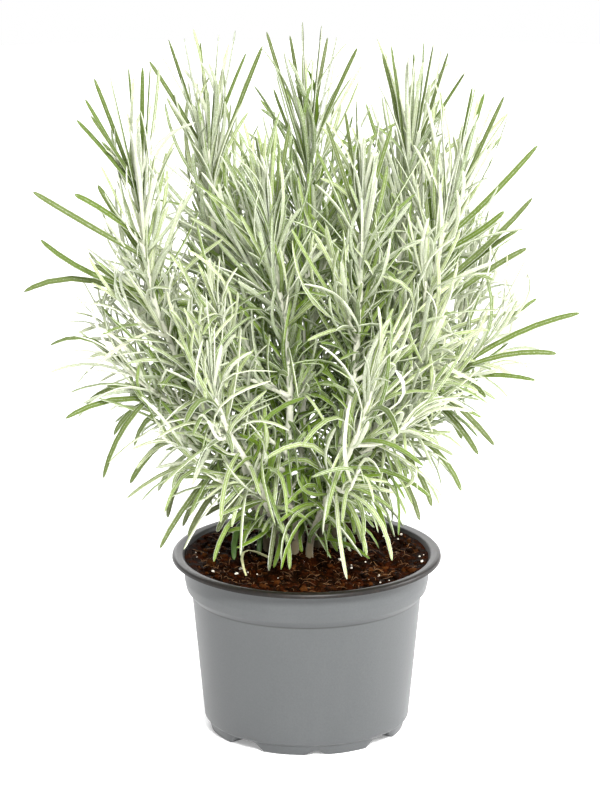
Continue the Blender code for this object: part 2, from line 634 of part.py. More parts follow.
def make_compost(stems, collection, cutters):
    peat = plain_material("moist peat compost", MOIST_PEAT, 0.95)
    heights = [height for _, height in WALL if COMPOST_FLOOR < height < COMPOST_EDGE]
    wall = [(wall_radius(height) - COMPOST_CLEARANCE, height)
            for height in (COMPOST_EDGE, *heights)]
    top = [(radius, COMPOST_EDGE) for radius in COMPOST_RINGS]
    profile = [(0.0, COMPOST_EDGE), *top, *wall,
               (COMPOST_FLOOR_RADIUS, COMPOST_FLOOR), (0.0, COMPOST_FLOOR)]
    compost = turned("compost", profile, collection, peat)
    compost.data.transform(Matrix.Rotation(FIRST_NOTCH, 4, "Z"))
    for vertex in compost.data.vertices:
        if vertex.co.z * 1000 > COMPOST_EDGE - 0.1:
            vertex.co.z = compost_height(vertex.co.x * 1000, vertex.co.y * 1000) / 1000
    for stem in stems:
        foot = stem.path[0]
        bottom = foot[2] - HOLE_CLEARANCE
        mesh = cylinder_mesh("hole", stem.foot_radius + HOLE_CLEARANCE, STRAIGHT_TO - bottom,
                             HOLE_SIDES)
        hole = add_object("stem hole cutter", mesh, cutters)
        hole.location = to_metres((foot[0], foot[1], bottom))
        as_cutter(hole)
    cut(compost, cutters, "stem holes")
    shade_round(compost, 60.0)


def tube(axis, name, collection, material):
    """A stem or shoot as a tapered tube along its axis."""
    curve = bpy.data.curves.new(name, "CURVE")
    curve.dimensions = "3D"
    curve.bevel_depth = 0.001
    curve.bevel_resolution = axis.kind.detail
    curve.use_fill_caps = True
    count = round(axis.length / axis.kind.step) + 2
    places = np.linspace(0.0, axis.length, count)
    spline = curve.splines.new("POLY")
    spline.points.add(count - 1)
    for point, place in zip(spline.points, places):
        point.co = (*to_metres(axis.at(place)), 1.0)
        point.radius = axis.radius(place)
    guide = add_object(name, curve, collection)
    graph = bpy.context.evaluated_depsgraph_get()
    mesh = bpy.data.meshes.new_from_object(guide.evaluated_get(graph))
    bpy.data.objects.remove(guide)
    welded = bmesh.new()
    welded.from_mesh(mesh)
    bmesh.ops.remove_doubles(welded, verts=welded.verts, dist=0.00001)
    bmesh.ops.recalc_face_normals(welded, faces=welded.faces)
    welded.to_mesh(mesh)
    welded.free()
    return add_object(name, mesh, collection, material)


def add_leaf(leaf, collection, material):
    """A three-sided blade with a flat upper face and a keel: a cone, bent at its knee."""
    blade = bmesh.new()
    bmesh.ops.create_cone(blade, cap_ends=True, segments=CONE_SIDES, radius1=1.0, radius2=0.0,
                          depth=1.0, matrix=Matrix.Translation((0.0, 0.0, 0.5)))
    root_fullness = STRAIGHT_ROOT
    if leaf.bend() > LEAST_BEND:
        root_fullness = BENT_ROOT
        bmesh.ops.bisect_plane(blade, geom=blade.verts[:] + blade.edges[:] + blade.faces[:],
                               plane_co=(0.0, 0.0, KNEE), plane_no=(0.0, 0.0, 1.0))
    for vertex in blade.verts:
        across, depth, share = vertex.co
        cone_radius = max(1.0 - share, 0.001)
        fullness = np.interp(share, (0.0, KNEE, 1.0), (root_fullness, 1.0, 0.0)) / cone_radius
        middle, further = leaf.line((share, share + 0.01))
        up = unit(np.cross(leaf.side, further - middle))
        width = leaf.side * across * fullness * leaf.width / CONE_WIDTH
        thickness = -up * depth * fullness * LEAF_THICKNESS / CONE_HEIGHT
        vertex.co = to_metres(middle + width + thickness)
    bmesh.ops.recalc_face_normals(blade, faces=blade.faces)
    mesh = bpy.data.meshes.new("leaf")
    blade.to_mesh(mesh)
    blade.free()
    add_object("leaf", mesh, collection, material)


def make_stem(node, axes, leaves, collection, material):
    """One leafy stem: its tube, with branches, shoots and leaves joined to it in one union."""
    first, *others = axes
    stem = tube(first, node, collection, material)
    growth = add_collection("growth of " + node)
    for axis in others:
        tube(axis, "shoot", growth, material)
    for leaf in leaves:
        add_leaf(leaf, growth, material)
    union = stem.modifiers.new("grown together", "BOOLEAN")
    union.operation = "UNION"
    union.operand_type = "COLLECTION"
    union.collection = growth
    apply_modifiers(stem)
    remove_collection(growth)


def main():
    for piece in list(bpy.data.objects):
        bpy.data.objects.remove(piece)
    collection = add_collection(OBJECT_NAME)
    drains = add_collection("drain cutters")
    holes = add_collection("stem hole cutters")
    axes, leaves = grow_plant()
    make_pot(collection, drains)
    make_compost(STEMS, collection, holes)
    foliage = plain_material("woolly leaf", WOOLLY_GREEN, 0.7)
    for stem in STEMS:
        own_axes = [axis for axis in axes if axis.node == stem.node]
        own_leaves = [leaf for leaf in leaves if leaf.node == stem.node]
        make_stem(stem.node, own_axes, own_leaves, collection, foliage)


main()
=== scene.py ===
"""Looks of a curry plant in a round nursery pot.

Each leafy stem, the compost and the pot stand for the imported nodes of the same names. The stems
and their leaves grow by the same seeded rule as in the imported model, and finer leaves are added
between them. Sizes are in millimetres, and to_metres turns them into Blender's metres.
"""

import math
from collections import namedtuple

import bmesh
import bpy
import numpy as np
from mathutils import Matrix, Vector, noise


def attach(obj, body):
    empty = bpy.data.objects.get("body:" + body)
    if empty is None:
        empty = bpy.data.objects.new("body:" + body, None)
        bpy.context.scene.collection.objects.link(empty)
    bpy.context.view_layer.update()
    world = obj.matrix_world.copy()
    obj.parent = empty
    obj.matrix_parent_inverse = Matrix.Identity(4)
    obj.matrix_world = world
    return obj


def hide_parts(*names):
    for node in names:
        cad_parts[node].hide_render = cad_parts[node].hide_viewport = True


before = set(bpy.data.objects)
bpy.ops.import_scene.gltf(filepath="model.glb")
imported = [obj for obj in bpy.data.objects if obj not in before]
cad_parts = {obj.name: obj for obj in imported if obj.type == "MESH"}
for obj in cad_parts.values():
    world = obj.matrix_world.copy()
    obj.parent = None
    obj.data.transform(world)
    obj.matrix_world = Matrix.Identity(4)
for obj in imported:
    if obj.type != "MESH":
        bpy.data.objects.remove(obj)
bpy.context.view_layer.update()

# Camera: where it stands, how far it looks down, and its lens on a sensor as high as the picture
CAMERA_PLACE = (-3.2, -2868.6, 1041.3)
CAMERA_PITCH = math.radians(17.0)
LENS = 281.4
SENSOR = 36.0
VIEW_DEPTH = 20.0           # in metres

# Pot
SHEET = 0.8                 # wall thickness of the moulded sheet
POT_SEGMENTS = 192
FLOOR_HEIGHT = 5.4          # middle of the raised floor
SOLE_HEIGHT = SHEET / 2     # middle of the sheet where it stands
NOTCH_TOP = 5.1             # the crease that the notches of the foot are pressed up to
# Radius and height of the middle of the sheet: the rim from its lip inward, the wall from the rim
# down, and the foot from the wall to the centre of the floor
RIM = ((64.6, 85.6), (64.4, 87.0), (63.2, 87.6), (60.4, 87.0))
WALL = ((58.6, 84.4), (58.6, 75.4), (57.8, 71.0), (55.0, 67.6), (50.6, 21.4), (49.1, 6.2))
FOOT = ((47.5, NOTCH_TOP), (46.4, SOLE_HEIGHT), (38.6, SOLE_HEIGHT), (37.2, FLOOR_HEIGHT),
        (0.0, FLOOR_HEIGHT))
CREASE_HEIGHT = 67.6        # of the crease where the collar's step meets the wall
CORNER_RADIUS = 0.6
CORNER_SHARE = 0.45         # the most of a short run that a corner takes
CORNER_STEPS = 5
ROW_STEP = 4.0              # height of a row of faces on the long runs
NOTCH_COUNT = 4
FIRST_NOTCH = math.radians(-129.3)   # direction of one notch between two feet, from +X
# Share of the foot's height that is pressed up, by the angle from a notch's middle in degrees
NOTCH_ANGLES = (0.0, 6.0, 13.0, 38.5, 42.5, 45.0)
NOTCH_SHARES = (1.0, 0.97, 0.0, 0.0, 0.36, 0.42)
DRAIN_RADIUS = 4.0
DRAIN_SIDES = 24
DRAIN_DISTANCE = 28.0       # from the axis, in line with the notches
DRAIN_CUT = 6.0             # length of a drain's cutter, whose middle is in the floor
SHARP_ANGLE = math.radians(40.0)    # edges sharper than this keep a line

# Compost
COMPOST_CLEARANCE = 0.8     # from the middle of the pot's sheet, which leaves 0.4 to its face
COMPOST_FLOOR = 6.2
COMPOST_FLOOR_RADIUS = 47.4
COMPOST_EDGE = 82.6
EDGE_BANK = 2.9             # how far crumbs are banked up against the wall
BANK_RADII = (40.0, 56.0)   # between which the bank rises
# Radius where the drawn surface ends in the flare under the rim, and the ring under that
TOP_EDGE = 58.9
UNDER_EDGE = (57.9, 83.8)
COMPOST_STEP = 1.1          # between the rings of its surface
COMPOST_SEGMENTS = 260
MOUND_HEIGHT = 4.2
MOUND_SPREAD = 30.0
# Gentle lumps in its surface: height, then the wave's length over 2 pi and its phase, in X and Y
LUMPS = ((0.8, 7.0, 1.3, 6.0, 1.17), (0.5, 3.1, 0.0, 3.7, 2.0))
LUMPS_FADE = (45.0, 57.0)   # the radii between which the lumps run out
# Finer relief: height and size of the clods, crumbs and grit
RELIEF = ((1.3, 9.0), (0.9, 3.6), (0.45, 1.5))
EDGE_RELIEF = 0.35          # the share of it that is left at the edge
PEAT_TONE = 0.7             # the lightest that the surface gets, where 1 is brown
PEAT_PATCH = 7.0            # size of its light and dark patches
COMPOST_SEED = 5
CROWN = (-4.0, 12.0)        # where the stems rise
FOOT_LEVEL = 77.0           # lower ends of the stems
STRAIGHT_TO = 95.0          # the stems rise straight through the compost to here

# Leafy stems: the foot (x, y), the path (x, y, z) from there to the growing tip, the radius at
# both ends, and how wide the leaves open, as a share of the usual angle. A branch has its whole
# path, starts on its stem and is one piece with it.
Stem = namedtuple("Stem", "node path foot_radius tip_radius opening")
STEMS = [Stem(node, ((*foot, FOOT_LEVEL), (*foot, STRAIGHT_TO), *path), *rest)
         for node, foot, path, *rest in (
    ("stem_front", (-6, 1), ((-9, -4, 128), (-8, -12, 168), (-10, -22, 203), (-15, -33, 240),
     (-19, -41, 276)), 2.1, 1.2, 0.62),
    ("stem_left", (-20, 7), ((-33, -1, 138), (-50, -9, 166), (-66, -15, 200), (-75, -19, 232),
     (-80, -23, 292)), 2.0, 1.0, 0.85),
    ("stem_back_left", (-11, 14), ((-22, 20, 145), (-36, 25, 198), (-44, 28, 238),
     (-48, 31, 298)), 1.9, 1.0, 1.0),
    ("stem_middle", (-3, 13), ((-2, 15, 150), (0, 18, 210), (1, 21, 304)), 1.9, 1.0, 1.0),
    ("stem_front_right", (8, 5), ((16, -6, 140), (22, -16, 180), (25, -25, 220), (26, -34, 278)),
     2.0, 1.1, 0.7),
    ("stem_right_top", (6, 14), ((22, 15, 142), (38, 15, 195), (46, 16, 240), (51, 16, 298)), 1.9,
     1.0, 0.9),
    ("stem_right", (14, 9), ((29, 1, 140), (46, -4, 180), (57, -8, 213), (63, -11, 243),
     (73, -13, 284)), 1.9, 1.0, 0.9),
    ("stem_low_left", (-14, -3), ((-24, -24, 132), (-38, -48, 166), (-48, -64, 204)), 1.8, 1.0,
     0.95),
    ("stem_low_right", (2, -4), ((12, -24, 128), (24, -48, 162), (34, -64, 200)), 1.8, 1.0, 0.95),
    ("stem_rear_left", (-13, 24), ((-23, 39, 145), (-33, 54, 198), (-40, 64, 256)), 1.9, 1.0,
     1.0),
    ("stem_rear", (-3, 26), ((0, 47, 145), (4, 66, 196), (6, 76, 244)), 1.9, 1.0, 1.0),
    ("stem_rear_right", (7, 24), ((22, 41, 148), (35, 55, 200), (42, 64, 258)), 1.9, 1.0, 1.0),
    ("stem_far_left", (-21, 17), ((-47, 30, 138), (-72, 40, 176), (-88, 46, 222)), 1.8, 1.0, 1.0),
    ("stem_far_right", (15, 18), ((43, 29, 138), (70, 38, 178), (84, 44, 224)), 1.8, 1.0, 1.0),
)]
BRANCHES = (
    Stem("stem_front", ((-9, -4, 128), (-22, -9, 139), (-48, -14, 157), (-72, -17, 173),
                        (-93, -18, 192)), 1.5, 0.9, 0.9),
    Stem("stem_front", ((-8, -13, 170), (-18, -23, 178), (-30, -34, 188), (-38, -46, 212)),
         1.3, 0.9, 0.8),
    Stem("stem_right", ((27, 2, 136), (42, 1, 150), (59, 0, 168), (76, -4, 184), (90, -6, 200)),
         1.5, 0.9, 0.9),
)
# How far apart the leaves of each kind of axis stand, as a share of the usual spacing
SPACINGS = {"stem": 1.0, "branch": 1.1, "shoot": 1.4}
LINE_STEP = 3.0             # between the points of an axis's smooth line
AHEAD_SPAN = 4.0            # the length of an axis that gives its direction at a place
ACROSS_GUIDE = (0.1, 1.0, 0.05)     # turns round an axis start square to this and to the axis

# Side shoots, which the growth rule places in a spiral up each stem and branch
SHOOT_PLACES = (62.0, 98.0, 136.0)  # along the stem, from its foot
SHOOT_PLACE_SPREAD = 8.0
SHOOT_LENGTHS = (52.0, 30.0)    # the lowest and the highest
SHOOT_ANGLE = math.radians(42.0)
SHOOT_RISE = 0.6            # how strongly a shoot's outer half turns up
SHOOT_RADII = (1.1, 0.7)
SHOOT_OPENING = 0.9
SHOOT_GAP = 3.0             # to everything that has grown, past the shoot's root
SHOOT_ROOT_SHARE = 0.35
BARE_TOP = 35.0             # length of a stem's top that bears no shoots
INWARD_LIMIT = -60.0        # how far a shoot may point back over the crown

# Leaves, which the growth rule places in a spiral down each axis from its tip.
# The values go with the age of a leaf, which is its distance from the growing tip.
GOLDEN_TURN = math.radians(137.5)
LEAF_AGES = (0.0, 12.0, 35.0, 70.0, 120.0, 180.0)
LEAF_ANGLES = (8.0, 20.0, 37.0, 54.0, 66.0, 74.0)
LEAF_LENGTHS = (24.0, 36.0, 46.0, 48.0, 44.0, 38.0)
LEAF_WIDTHS = (1.3, 1.7, 2.2, 2.4, 2.4, 2.2)
LEAF_SPACINGS = (4.0, 5.0, 6.2, 7.4, 10.5, 16.0)
TIP_MARGIN = 1.0            # from an axis's tip to its first leaf
FOOT_MARGIN = 2.0           # from an axis's foot to its last leaf
# The share of a leaf's greatest width along it: narrower at the root, widest half way, pointed
WIDTH_PLACES = (0.0, 0.2, 0.5, 0.75, 0.92, 1.0)
WIDTH_SHARES = (0.3, 0.8, 1.0, 0.8, 0.4, 0.0)
ANGLE_SPREAD = 5.0
LENGTH_SPREAD = (0.85, 1.1)
TURN_SPREAD = (0.1, 0.25)   # at the first try, and added at each later one
# How far a leaf's outer half sinks, by the height of its root, and the share its inner half sinks
DROOP_HEIGHTS = (100.0, 135.0, 170.0, 215.0, 270.0)
DROOPS = (1.3, 0.95, 0.5, 0.15, 0.0)
DROOP_SPREAD = (0.6, 1.3)
INNER_DROOP = 0.35
WAVER = 0.12                # how far a leaf's outer half turns aside
LOWEST_LEAF = 104.0         # height of the lowest leaf's root
LOWEST_TIP = 90.0
ENVELOPE = (126.0, 110.0, 342.0)    # half width, half depth and height of the seeded growth
KNEE = 0.5                  # share of a leaf's length where it bends
LEAST_BEND = 4.0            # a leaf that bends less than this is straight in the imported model
ROOT_SHARE = 0.12           # part of a leaf, at its root, that may touch its own stem's growth
NODE_GAP = 1.1              # between two stems' growth
OWN_GAP = 0.2               # between leaves of one stem
OUTLINE_OWN_GAP = -0.7      # the outline's leaves may lie against each other
TRIES = 8
SHOOT_SEED = 11
LEAF_SEED = 23
SPOT_STEP = 2.0             # between the test points along a leaf or axis
SPOT_REACH = 6.0            # test points farther apart than this are never compared

# Leaves whose tips draw the plant's outline: the tips of each tuft, and the root, knee and tip of
# each of the outer leaves below
TUFT_TIPS = {
    "stem_left": ((-104, -20, 318), (-108, -24, 309), (-101, -32, 313), (-100, -12, 326),
                  (-92, -27, 333), (-84, -8, 330), (-77, -22, 333), (-73, -34, 338)),
    "stem_back_left": ((-75, 30, 324), (-66, 40, 332), (-58, 18, 338), (-51, 44, 330),
                       (-42, 30, 337), (-34, 22, 341), (-29, 38, 326), (-21, 20, 334)),
    "stem_middle": ((-19, 15, 342), (-8, 32, 336), (-2, 20, 347), (7, 22, 344), (14, 8, 341),
                    (24, 20, 333), (-10, 6, 330), (10, 36, 334)),
    "stem_right_top": ((36, 20, 330), (40, 8, 337), (51, 26, 329), (60, 15, 337),
                       (67, 8, 334), (75, 15, 322), (48, 4, 334)),
    "stem_right": ((63, -22, 320), (78, -8, 321), (79, -18, 324), (84, 0, 316), (87, -22, 317),
                   (93, -10, 317), (91, 5, 294), (85, -27, 282)),
    "stem_front_right": ((23, -36, 321), (18, -28, 314), (9, -36, 311), (34, -36, 316),
                         (40, -25, 306), (27, -46, 308)),
    "stem_front": ((-16, -44, 308), (-24, -42, 305), (-8, -40, 311), (-19, -52, 300)),
}
TUFT_ROOTS = (5.0, 3.4)     # the first root below the growing tip, and the spacing of the next
TUFT_BOW = 1.5
KNEE_SHIFT = 0.6            # the knee's share of a leaf's shift in depth
DEPTH_SHIFTS = (0.0, -3.0, 3.0, -6.0, 6.0, -9.0, 9.0, -13.0, 13.0, -17.0, 17.0)
TUFT_WIDTH = 1.8
OUTER_WIDTH = 2.4
OUTER_LEAVES = (
    ("stem_left", ((-77, -20, 240), (-105, -20, 258), (-129, -20, 273)),
     ((-78, -22, 250), (-95, -27, 266), (-109, -32, 275)),
     ((-77, -20, 238), (-88, -12, 256), (-99, -4, 272)),
     ((-74, -19, 222), (-103, -28, 236), (-125, -36, 254)),
     ((-70, -17, 214), (-104, -20, 230), (-134, -20, 224)),
     ((-68, -16, 206), (-86, -2, 221), (-102, 10, 229))),
    ("stem_front", ((-85, -18, 184), (-103, -18, 200), (-122, -18, 197)),
     ((-56, -15, 162), (-86, -16, 170), (-115, -16, 160)),
     ((-73, -17, 174), (-90, -4, 172), (-106, 5, 161)),
     ((-72, -17, 173), (-88, -22, 156), (-97, -28, 134)),
     ((-68, -16, 170), (-83, -2, 160), (-93, 9, 144)),
     ((-60, -15, 165), (-75, -4, 157), (-83, 4, 140)),
     ((-50, -14, 158), (-71, -10, 143), (-85, -8, 122))),
    ("stem_left", ((-35, -2, 141), (-56, -22, 121), (-70, -32, 100)),
     ((-43, -5, 154), (-60, 0, 128), (-67, 0, 105)),
     ((-34, -1, 138), (-49, 4, 121), (-60, 8, 98)),
     ((-31, 0, 132), (-46, -10, 119), (-57, -14, 100)),
     ((-24, 5, 112), (-38, 8, 110), (-50, 8, 103))),
    ("stem_front", ((-20, -8, 138), (-34, -16, 120), (-43, -22, 105))),
    ("stem_right", ((65, -11, 250), (84, -10, 266), (109, -10, 293)),
     ((59, -9, 222), (84, -8, 242), (107, -5, 266)),
     ((56, -8, 208), (84, 4, 226), (105, 10, 237)),
     ((63, -11, 240), (80, -17, 252), (93, -22, 264)),
     ((58, -8, 216), (82, 0, 236), (101, 4, 248)),
     ((76, -4, 184), (103, -7, 201), (130, -8, 210)),
     ((72, -3, 181), (97, -9, 190), (119, -12, 191)),
     ((66, -2, 175), (88, -10, 180), (109, -16, 179)),
     ((87, -6, 197), (100, 1, 207), (110, 6, 213)),
     ((86, -5, 195), (94, -10, 211), (99, -14, 222)),
     ((46, -4, 180), (69, -20, 170), (89, -30, 151)),
     ((57, 0, 166), (70, -10, 158), (82, -16, 142)),
     ((55, 0, 164), (67, 7, 156), (75, 12, 141)),
     ((44, 1, 152), (63, -10, 141), (74, -17, 124)),
     ((38, 1, 147), (53, -6, 131), (60, -10, 114)),
     ((32, 1, 139), (46, -16, 130), (54, -26, 112)),
     ((27, 2, 136), (36, -1, 130), (39, -6, 115))),
    ("stem_front_right", ((17, -8, 146), (31, -21, 135), (40, -30, 118))),
    ("stem_right", ((62, 0, 171), (76, 6, 172), (86, 8, 163))),
    ("stem_front", ((-9, -5, 130), (-14, -22, 114), (-18, -36, 90))),
    ("stem_front_right", ((12, -1, 124), (19, -16, 122), (26, -27, 101))),
    ("stem_front", ((-8, -10, 156), (6, -24, 140), (15, -32, 116))),
    ("stem_low_left", ((-42, -54, 178), (-49, -82, 192), (-56, -112, 188))),
    ("stem_low_right", ((28, -54, 176), (36, -82, 188), (42, -112, 182))),
    ("stem_rear", ((4, 68, 210), (8, 92, 224), (12, 112, 220))),
    ("stem_rear_left", ((-35, 58, 214), (-46, 84, 226), (-56, 106, 220))),
    ("stem_rear_right", ((38, 60, 216), (50, 84, 230), (58, 106, 224))),
)

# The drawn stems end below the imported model's, as the real ones do inside their tufts of leaves,
# and the leaves of that length are rooted lower
TIP_CUT = 15.0
TIP_CUT_SPAN = 45.0
# Finer leaves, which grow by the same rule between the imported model's leaves. How closely they
# stand, as a share of the usual spacing, goes by the height of their root.
FINE_SPACINGS = ((230.0, 265.0), (0.18, 0.25))
FINE_ANGLES = (9.0, 19.0, 29.0, 38.0, 50.0, 62.0)
FINE_LENGTHS = (48.0, 56.0, 58.0, 52.0, 42.0, 34.0)
FINE_WIDTHS = (1.65, 1.95, 2.0, 2.1, 2.4, 2.7)
FINE_LOWEST_LEAF = 90.0
FINE_LOWEST_TIP = 86.0
# How far from the plant's middle the finer leaves' tips reach, by height, and how far the limit
# varies, so that the outline's long leaves stand out of the bush as they do in the photo
FINE_REACHES = ((90.0, 122.0, 145.0, 165.0, 190.0, 215.0, 265.0, 315.0, 345.0),
                (45.0, 66.0, 74.0, 88.0, 97.0, 101.0, 101.0, 95.0, 84.0))
REACH_SPREAD = (0.82, 1.14)
# Stems that stay in view from the front, and how far the finer leaves before them keep aside
SHOWN_STEMS = ("stem_front", "stem_left", "stem_right", "stem_front_right")
SHOWN_FROM = 128.0          # height above which they do so
ASIDE = 2.6
ASIDE_SHARE = 0.85          # of the leaves that do so
VIEW_TILT = math.radians(17.0)
FINE_WAVERS = (0.48, 0.3)   # at the heights below
FINE_ANGLE_SPREAD = (8.0, 14.0)     # in degrees, at the tip and from the fourth age on
FINE_LENGTH_SPREAD = (0.72, 1.2)
RISE_HEIGHTS = (150.0, 230.0)   # leaves rooted above the second bow up most
RISE = 0.4
RISE_SPREAD = (-0.2, 1.0)
FINE_DROOP_SPREAD = (-0.2, 1.3)
FINE_INNER_DROOP = 0.3      # the share that the inner half sinks
FINE_TURN_SPREAD = 0.3
SHRINK = 0.84               # of a leaf that found no room, at the next try
# How long the finer leaves are and how many grow, as shares, by the height of their root
FILL_HEIGHTS = (100.0, 150.0, 200.0)
FILL_LENGTHS = (0.75, 0.85, 1.0)
FILL_SHARES = (1.0, 0.9, 1.0)
FINE_GAP = -1.2             # to the other stems' growth
FINE_OWN_GAP = -1.5
FINE_TRIES = 2
FINE_SEED = 31
# Twigs of short young leaves in the angles of the old ones: places along a stem from its tip
TWIG_PLACES = np.arange(46.0, 265.0, 17.0)
TWIG_LOWEST = 94.0          # height of the lowest twig's root
TWIG_LENGTH = (10.0, 24.0)
TWIG_RADII = (0.7, 0.4)
TWIG_OPENING = 0.75
TWIG_LEAF_SIZE = 0.58
TWIG_LEAF_WIDTH = 0.75
TWIG_SIZE_SPREAD = (0.75, 1.35)
TWIG_SPACING = 2.2
TWIG_LEAST_LEAVES = 3       # a twig with fewer is left out
TWIG_PLACE_SPREAD = 3.0
TWIG_LEAN = (0.5, 1.0)      # tangent of the angle at which a twig leaves its stem
TWIG_RISE = 0.5
TWIG_FOOT_MARGIN = 1.0
TWIG_AGE_SHARE = 0.2        # how old its leaves look, as a share of the age of the old leaf's
TWIG_ROOT_SHARE = 0.4
TWIG_GAP = -0.8
TWIG_SEED = 47

# A leaf's section, seen from its root: across and up as shares of its half width, and how much
# wool shows there. The upper face is grooved and its margins are rolled under.
SECTION = ((-1.0, -0.16, 1.2), (-0.58, 0.2, 0.0), (0.0, -0.02, 0.65), (0.58, 0.2, 0.0),
           (1.0, -0.16, 1.2), (0.62, -0.56, 0.6), (0.0, -0.34, 0.9), (-0.62, -0.56, 0.6))
# Places of the sections along a leaf and its width there, as shares
STATIONS = (0.0, 0.1, 0.26, 0.44, 0.62, 0.8, 0.92, 0.975, 1.0)
STATION_WIDTHS = (0.6, 0.74, 0.92, 1.0, 1.0, 0.98, 0.86, 0.58, 0.2)
WOOL = np.tile([wool for _, _, wool in SECTION], len(STATIONS))
TWIST = math.radians(38.0)  # the most that a leaf turns about its own line, root to tip
ROLL = math.radians(35.0)   # spread of how far it is turned at its root
# How far the outline's leaves turn their upper face to the front
FACE_ROLL = (math.radians(40.0), math.radians(85.0))
OUTLINE_BROADER = 1.25      # the drawn width of the outline's leaves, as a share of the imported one
STEM_SIDES = 12
SHOOT_SIDES = 8
STEM_STEP = 2.4
STEM_SWELL = 0.07           # how much a stem's radius varies where leaves sat
# How far ahead the two rings lie that round a stem's tip, and their radii, as shares of its radius
TIP_REACHES = (0.6, 0.9)
TIP_RADII = (0.75, 0.3)
LOOKS_SEED = 61
STEM_BARK_HEIGHTS = (92.0, 135.0)   # bark shows on a stem below the first, wool above the second
LEAF_LOW_HEIGHTS = (110.0, 250.0)   # leaves rooted below the first are greenest
# How far the plant spreads from its middle, by height: leaves near the middle are greener, partly as
# older growth and partly as painted shade of the bush's depths
LEAF_REACHES = ((100.0, 160.0, 220.0, 300.0), (35.0, 75.0, 95.0, 80.0))
# How old a leaf looks, where 1 is old: the weights of its distance in mm from the tip, of a low root
# and of a place near the middle, where the greener colour is partly painted shade, and the spread
AGE_WEIGHTS = (0.35 / 120, 0.35, 0.75)
AGE_SPREAD = 0.18
# Painted shade on the leaves that stand out of the bush: the least age that they show, where 2 is
# painted fully to an olive grey, their least depth of green, which deepens them as painted shade
# too, and how much more wool their groove and margins hold
OUTLINE_SHADE_AGE = 1.3
OUTLINE_SHADE_TONE = 0.62
OUTLINE_WOOL = 1.4

# What lies on the compost. For lumps: how many, the least and greatest size, the height as a
# share of it, and the roughness.
CRUMBS = (1500, (0.8, 4.4), 0.75, 0.75)
PERLITE_GRAINS = (60, (0.8, 2.4), 0.85, 0.5)
LUMP_SMALLNESS = 3          # the higher, the more of the lumps are small
LUMP_MARGIN = 1.0           # between a lump and the compost's edge
LUMP_BUMPS = 1.4            # how close its bumps are
LUMP_STRETCH = (0.65, 1.0)
LUMP_TILT = 0.5
LUMP_LIFT = 0.12            # of its middle over the surface, as a share of its size
LUMP_DETAIL = 2             # how often the faces of its ball are divided
FIBRES = 450
FIBRE_START = 54.0          # the radius in which fibres start, and the one they stay in
FIBRE_END = 56.0
FIBRE_POINTS = 6
FIBRE_LEAST_POINTS = 4
FIBRE_STEPS = (0.4, 1.5)
FIBRE_BEND = 0.1
FIBRE_ARCH = 1.4
FIBRE_LIFT = 0.25
FIBRE_RADII = (0.07, 0.15)
FIBRE_TAPER = ((0.0, 0.2, 0.8, 1.0), (0.4, 1.0, 1.0, 0.4))
FIBRE_SIDES = 4
LOOSE_LOOKS = {"age": 0.25, "tone": 0.2}    # of the leaves that lie on the compost
# Root, knee, tip and width of each loose leaf
FALLEN_LEAVES = (
    ((21.0, 5.0, 86.5), (13.0, 20.0, 90.5), (1.0, 18.0, 88.5), 2.2),
    ((-40.0, 30.0, 84.5), (-36.0, 36.0, 86.0), (-29.0, 40.0, 85.5), 1.8),
)
WITHERED_LEAVES = (((-29.0, -27.0, 84.6), (-30.0, -6.0, 90.0), (-17.0, -8.0, 86.5), 1.6),)
OLD_GREEN_LEAVES = (
    ((-25.0, 14.0, 100.0), (-33.0, 6.0, 98.0), (-35.0, -6.0, 85.5), 3.2),
    ((-20.0, 10.0, 98.0), (-22.0, 4.0, 96.0), (-23.0, -2.0, 86.5), 2.8),
    ((16.0, 12.0, 96.0), (17.5, 8.0, 94.0), (18.5, 5.0, 88.0), 3.0),
)

# Real sizes that the patterns are scaled from, in millimetres
WOOL_FELT = 0.7             # the wool's tufts are 0.2, and are drawn coarser so that they show
GREEN_BLOTCH = 2.5
DRY_BLOTCH = 1.8
PLASTIC_GRAIN = 0.9         # orange peel of the drawn sheet
PLASTIC_CLOUD = 14.0        # its mottling
PEAT_DUST = 2.2
PEAT_CLOD = 6.0
PEAT_GRIT = 1.2
PERLITE_PORE = 0.8
TABLE_CLOUD = 80.0
# How much wool a leaf's depth of green, its felt and the place on its section give
COVER_WEIGHTS = (-0.28, 1.1, 0.78)

# Colours
YOUNG_LEAF = "#A5AE78"
OLD_LEAF = "#668018"
DEEP_GREEN = "#4B640C"
# painted shade of the leaves that stand out of the bush
OUTLINE_SHADE_GREY = "#595D3F"
LEAF_WOOL = "#E4E6DA"
STEM_WOOL = "#E5E4D5"
STEM_GREEN = "#A9B380"
STEM_BARK = "#6A5F47"
PLASTIC_DARK = "#464849"
PLASTIC_LIGHT = "#4D4F50"
# painted shade: the dark line along the crease under the collar
CREASE_PAINTED_SHADE = "#1E1D1B"
PEAT_DARK = "#070200"
PEAT_BROWN = "#190A02"
PEAT_RED = "#3E1906"
PEAT_DRY = "#5C3516"
PEAT_FIBRE = "#6D4525"

# Studio
FLOOR_RADIUS = 1.4
FLOOR_SEGMENTS = 96
LIT_PLACE = Vector((0.0, 0.0, 0.18))    # the middle of the plant, in metres
TABLE_GLOW = 0.25
SURROUND_STRENGTH = 0.5
# Place in metres, size in metres and power in watts of each softbox
SOFTBOXES = {
    "key": ((0.3, -1.6, 1.4), 0.5, 67.0),
    "right": ((1.5, 0.2, 0.8), 0.7, 28.0),
    "back": ((-0.5, 1.3, 1.4), 1.0, 18.0),
    "backdrop": ((0.0, 2.4, 0.75), 2.2, 32.0),
}


def unit(vector):
    return vector / np.linalg.norm(vector)


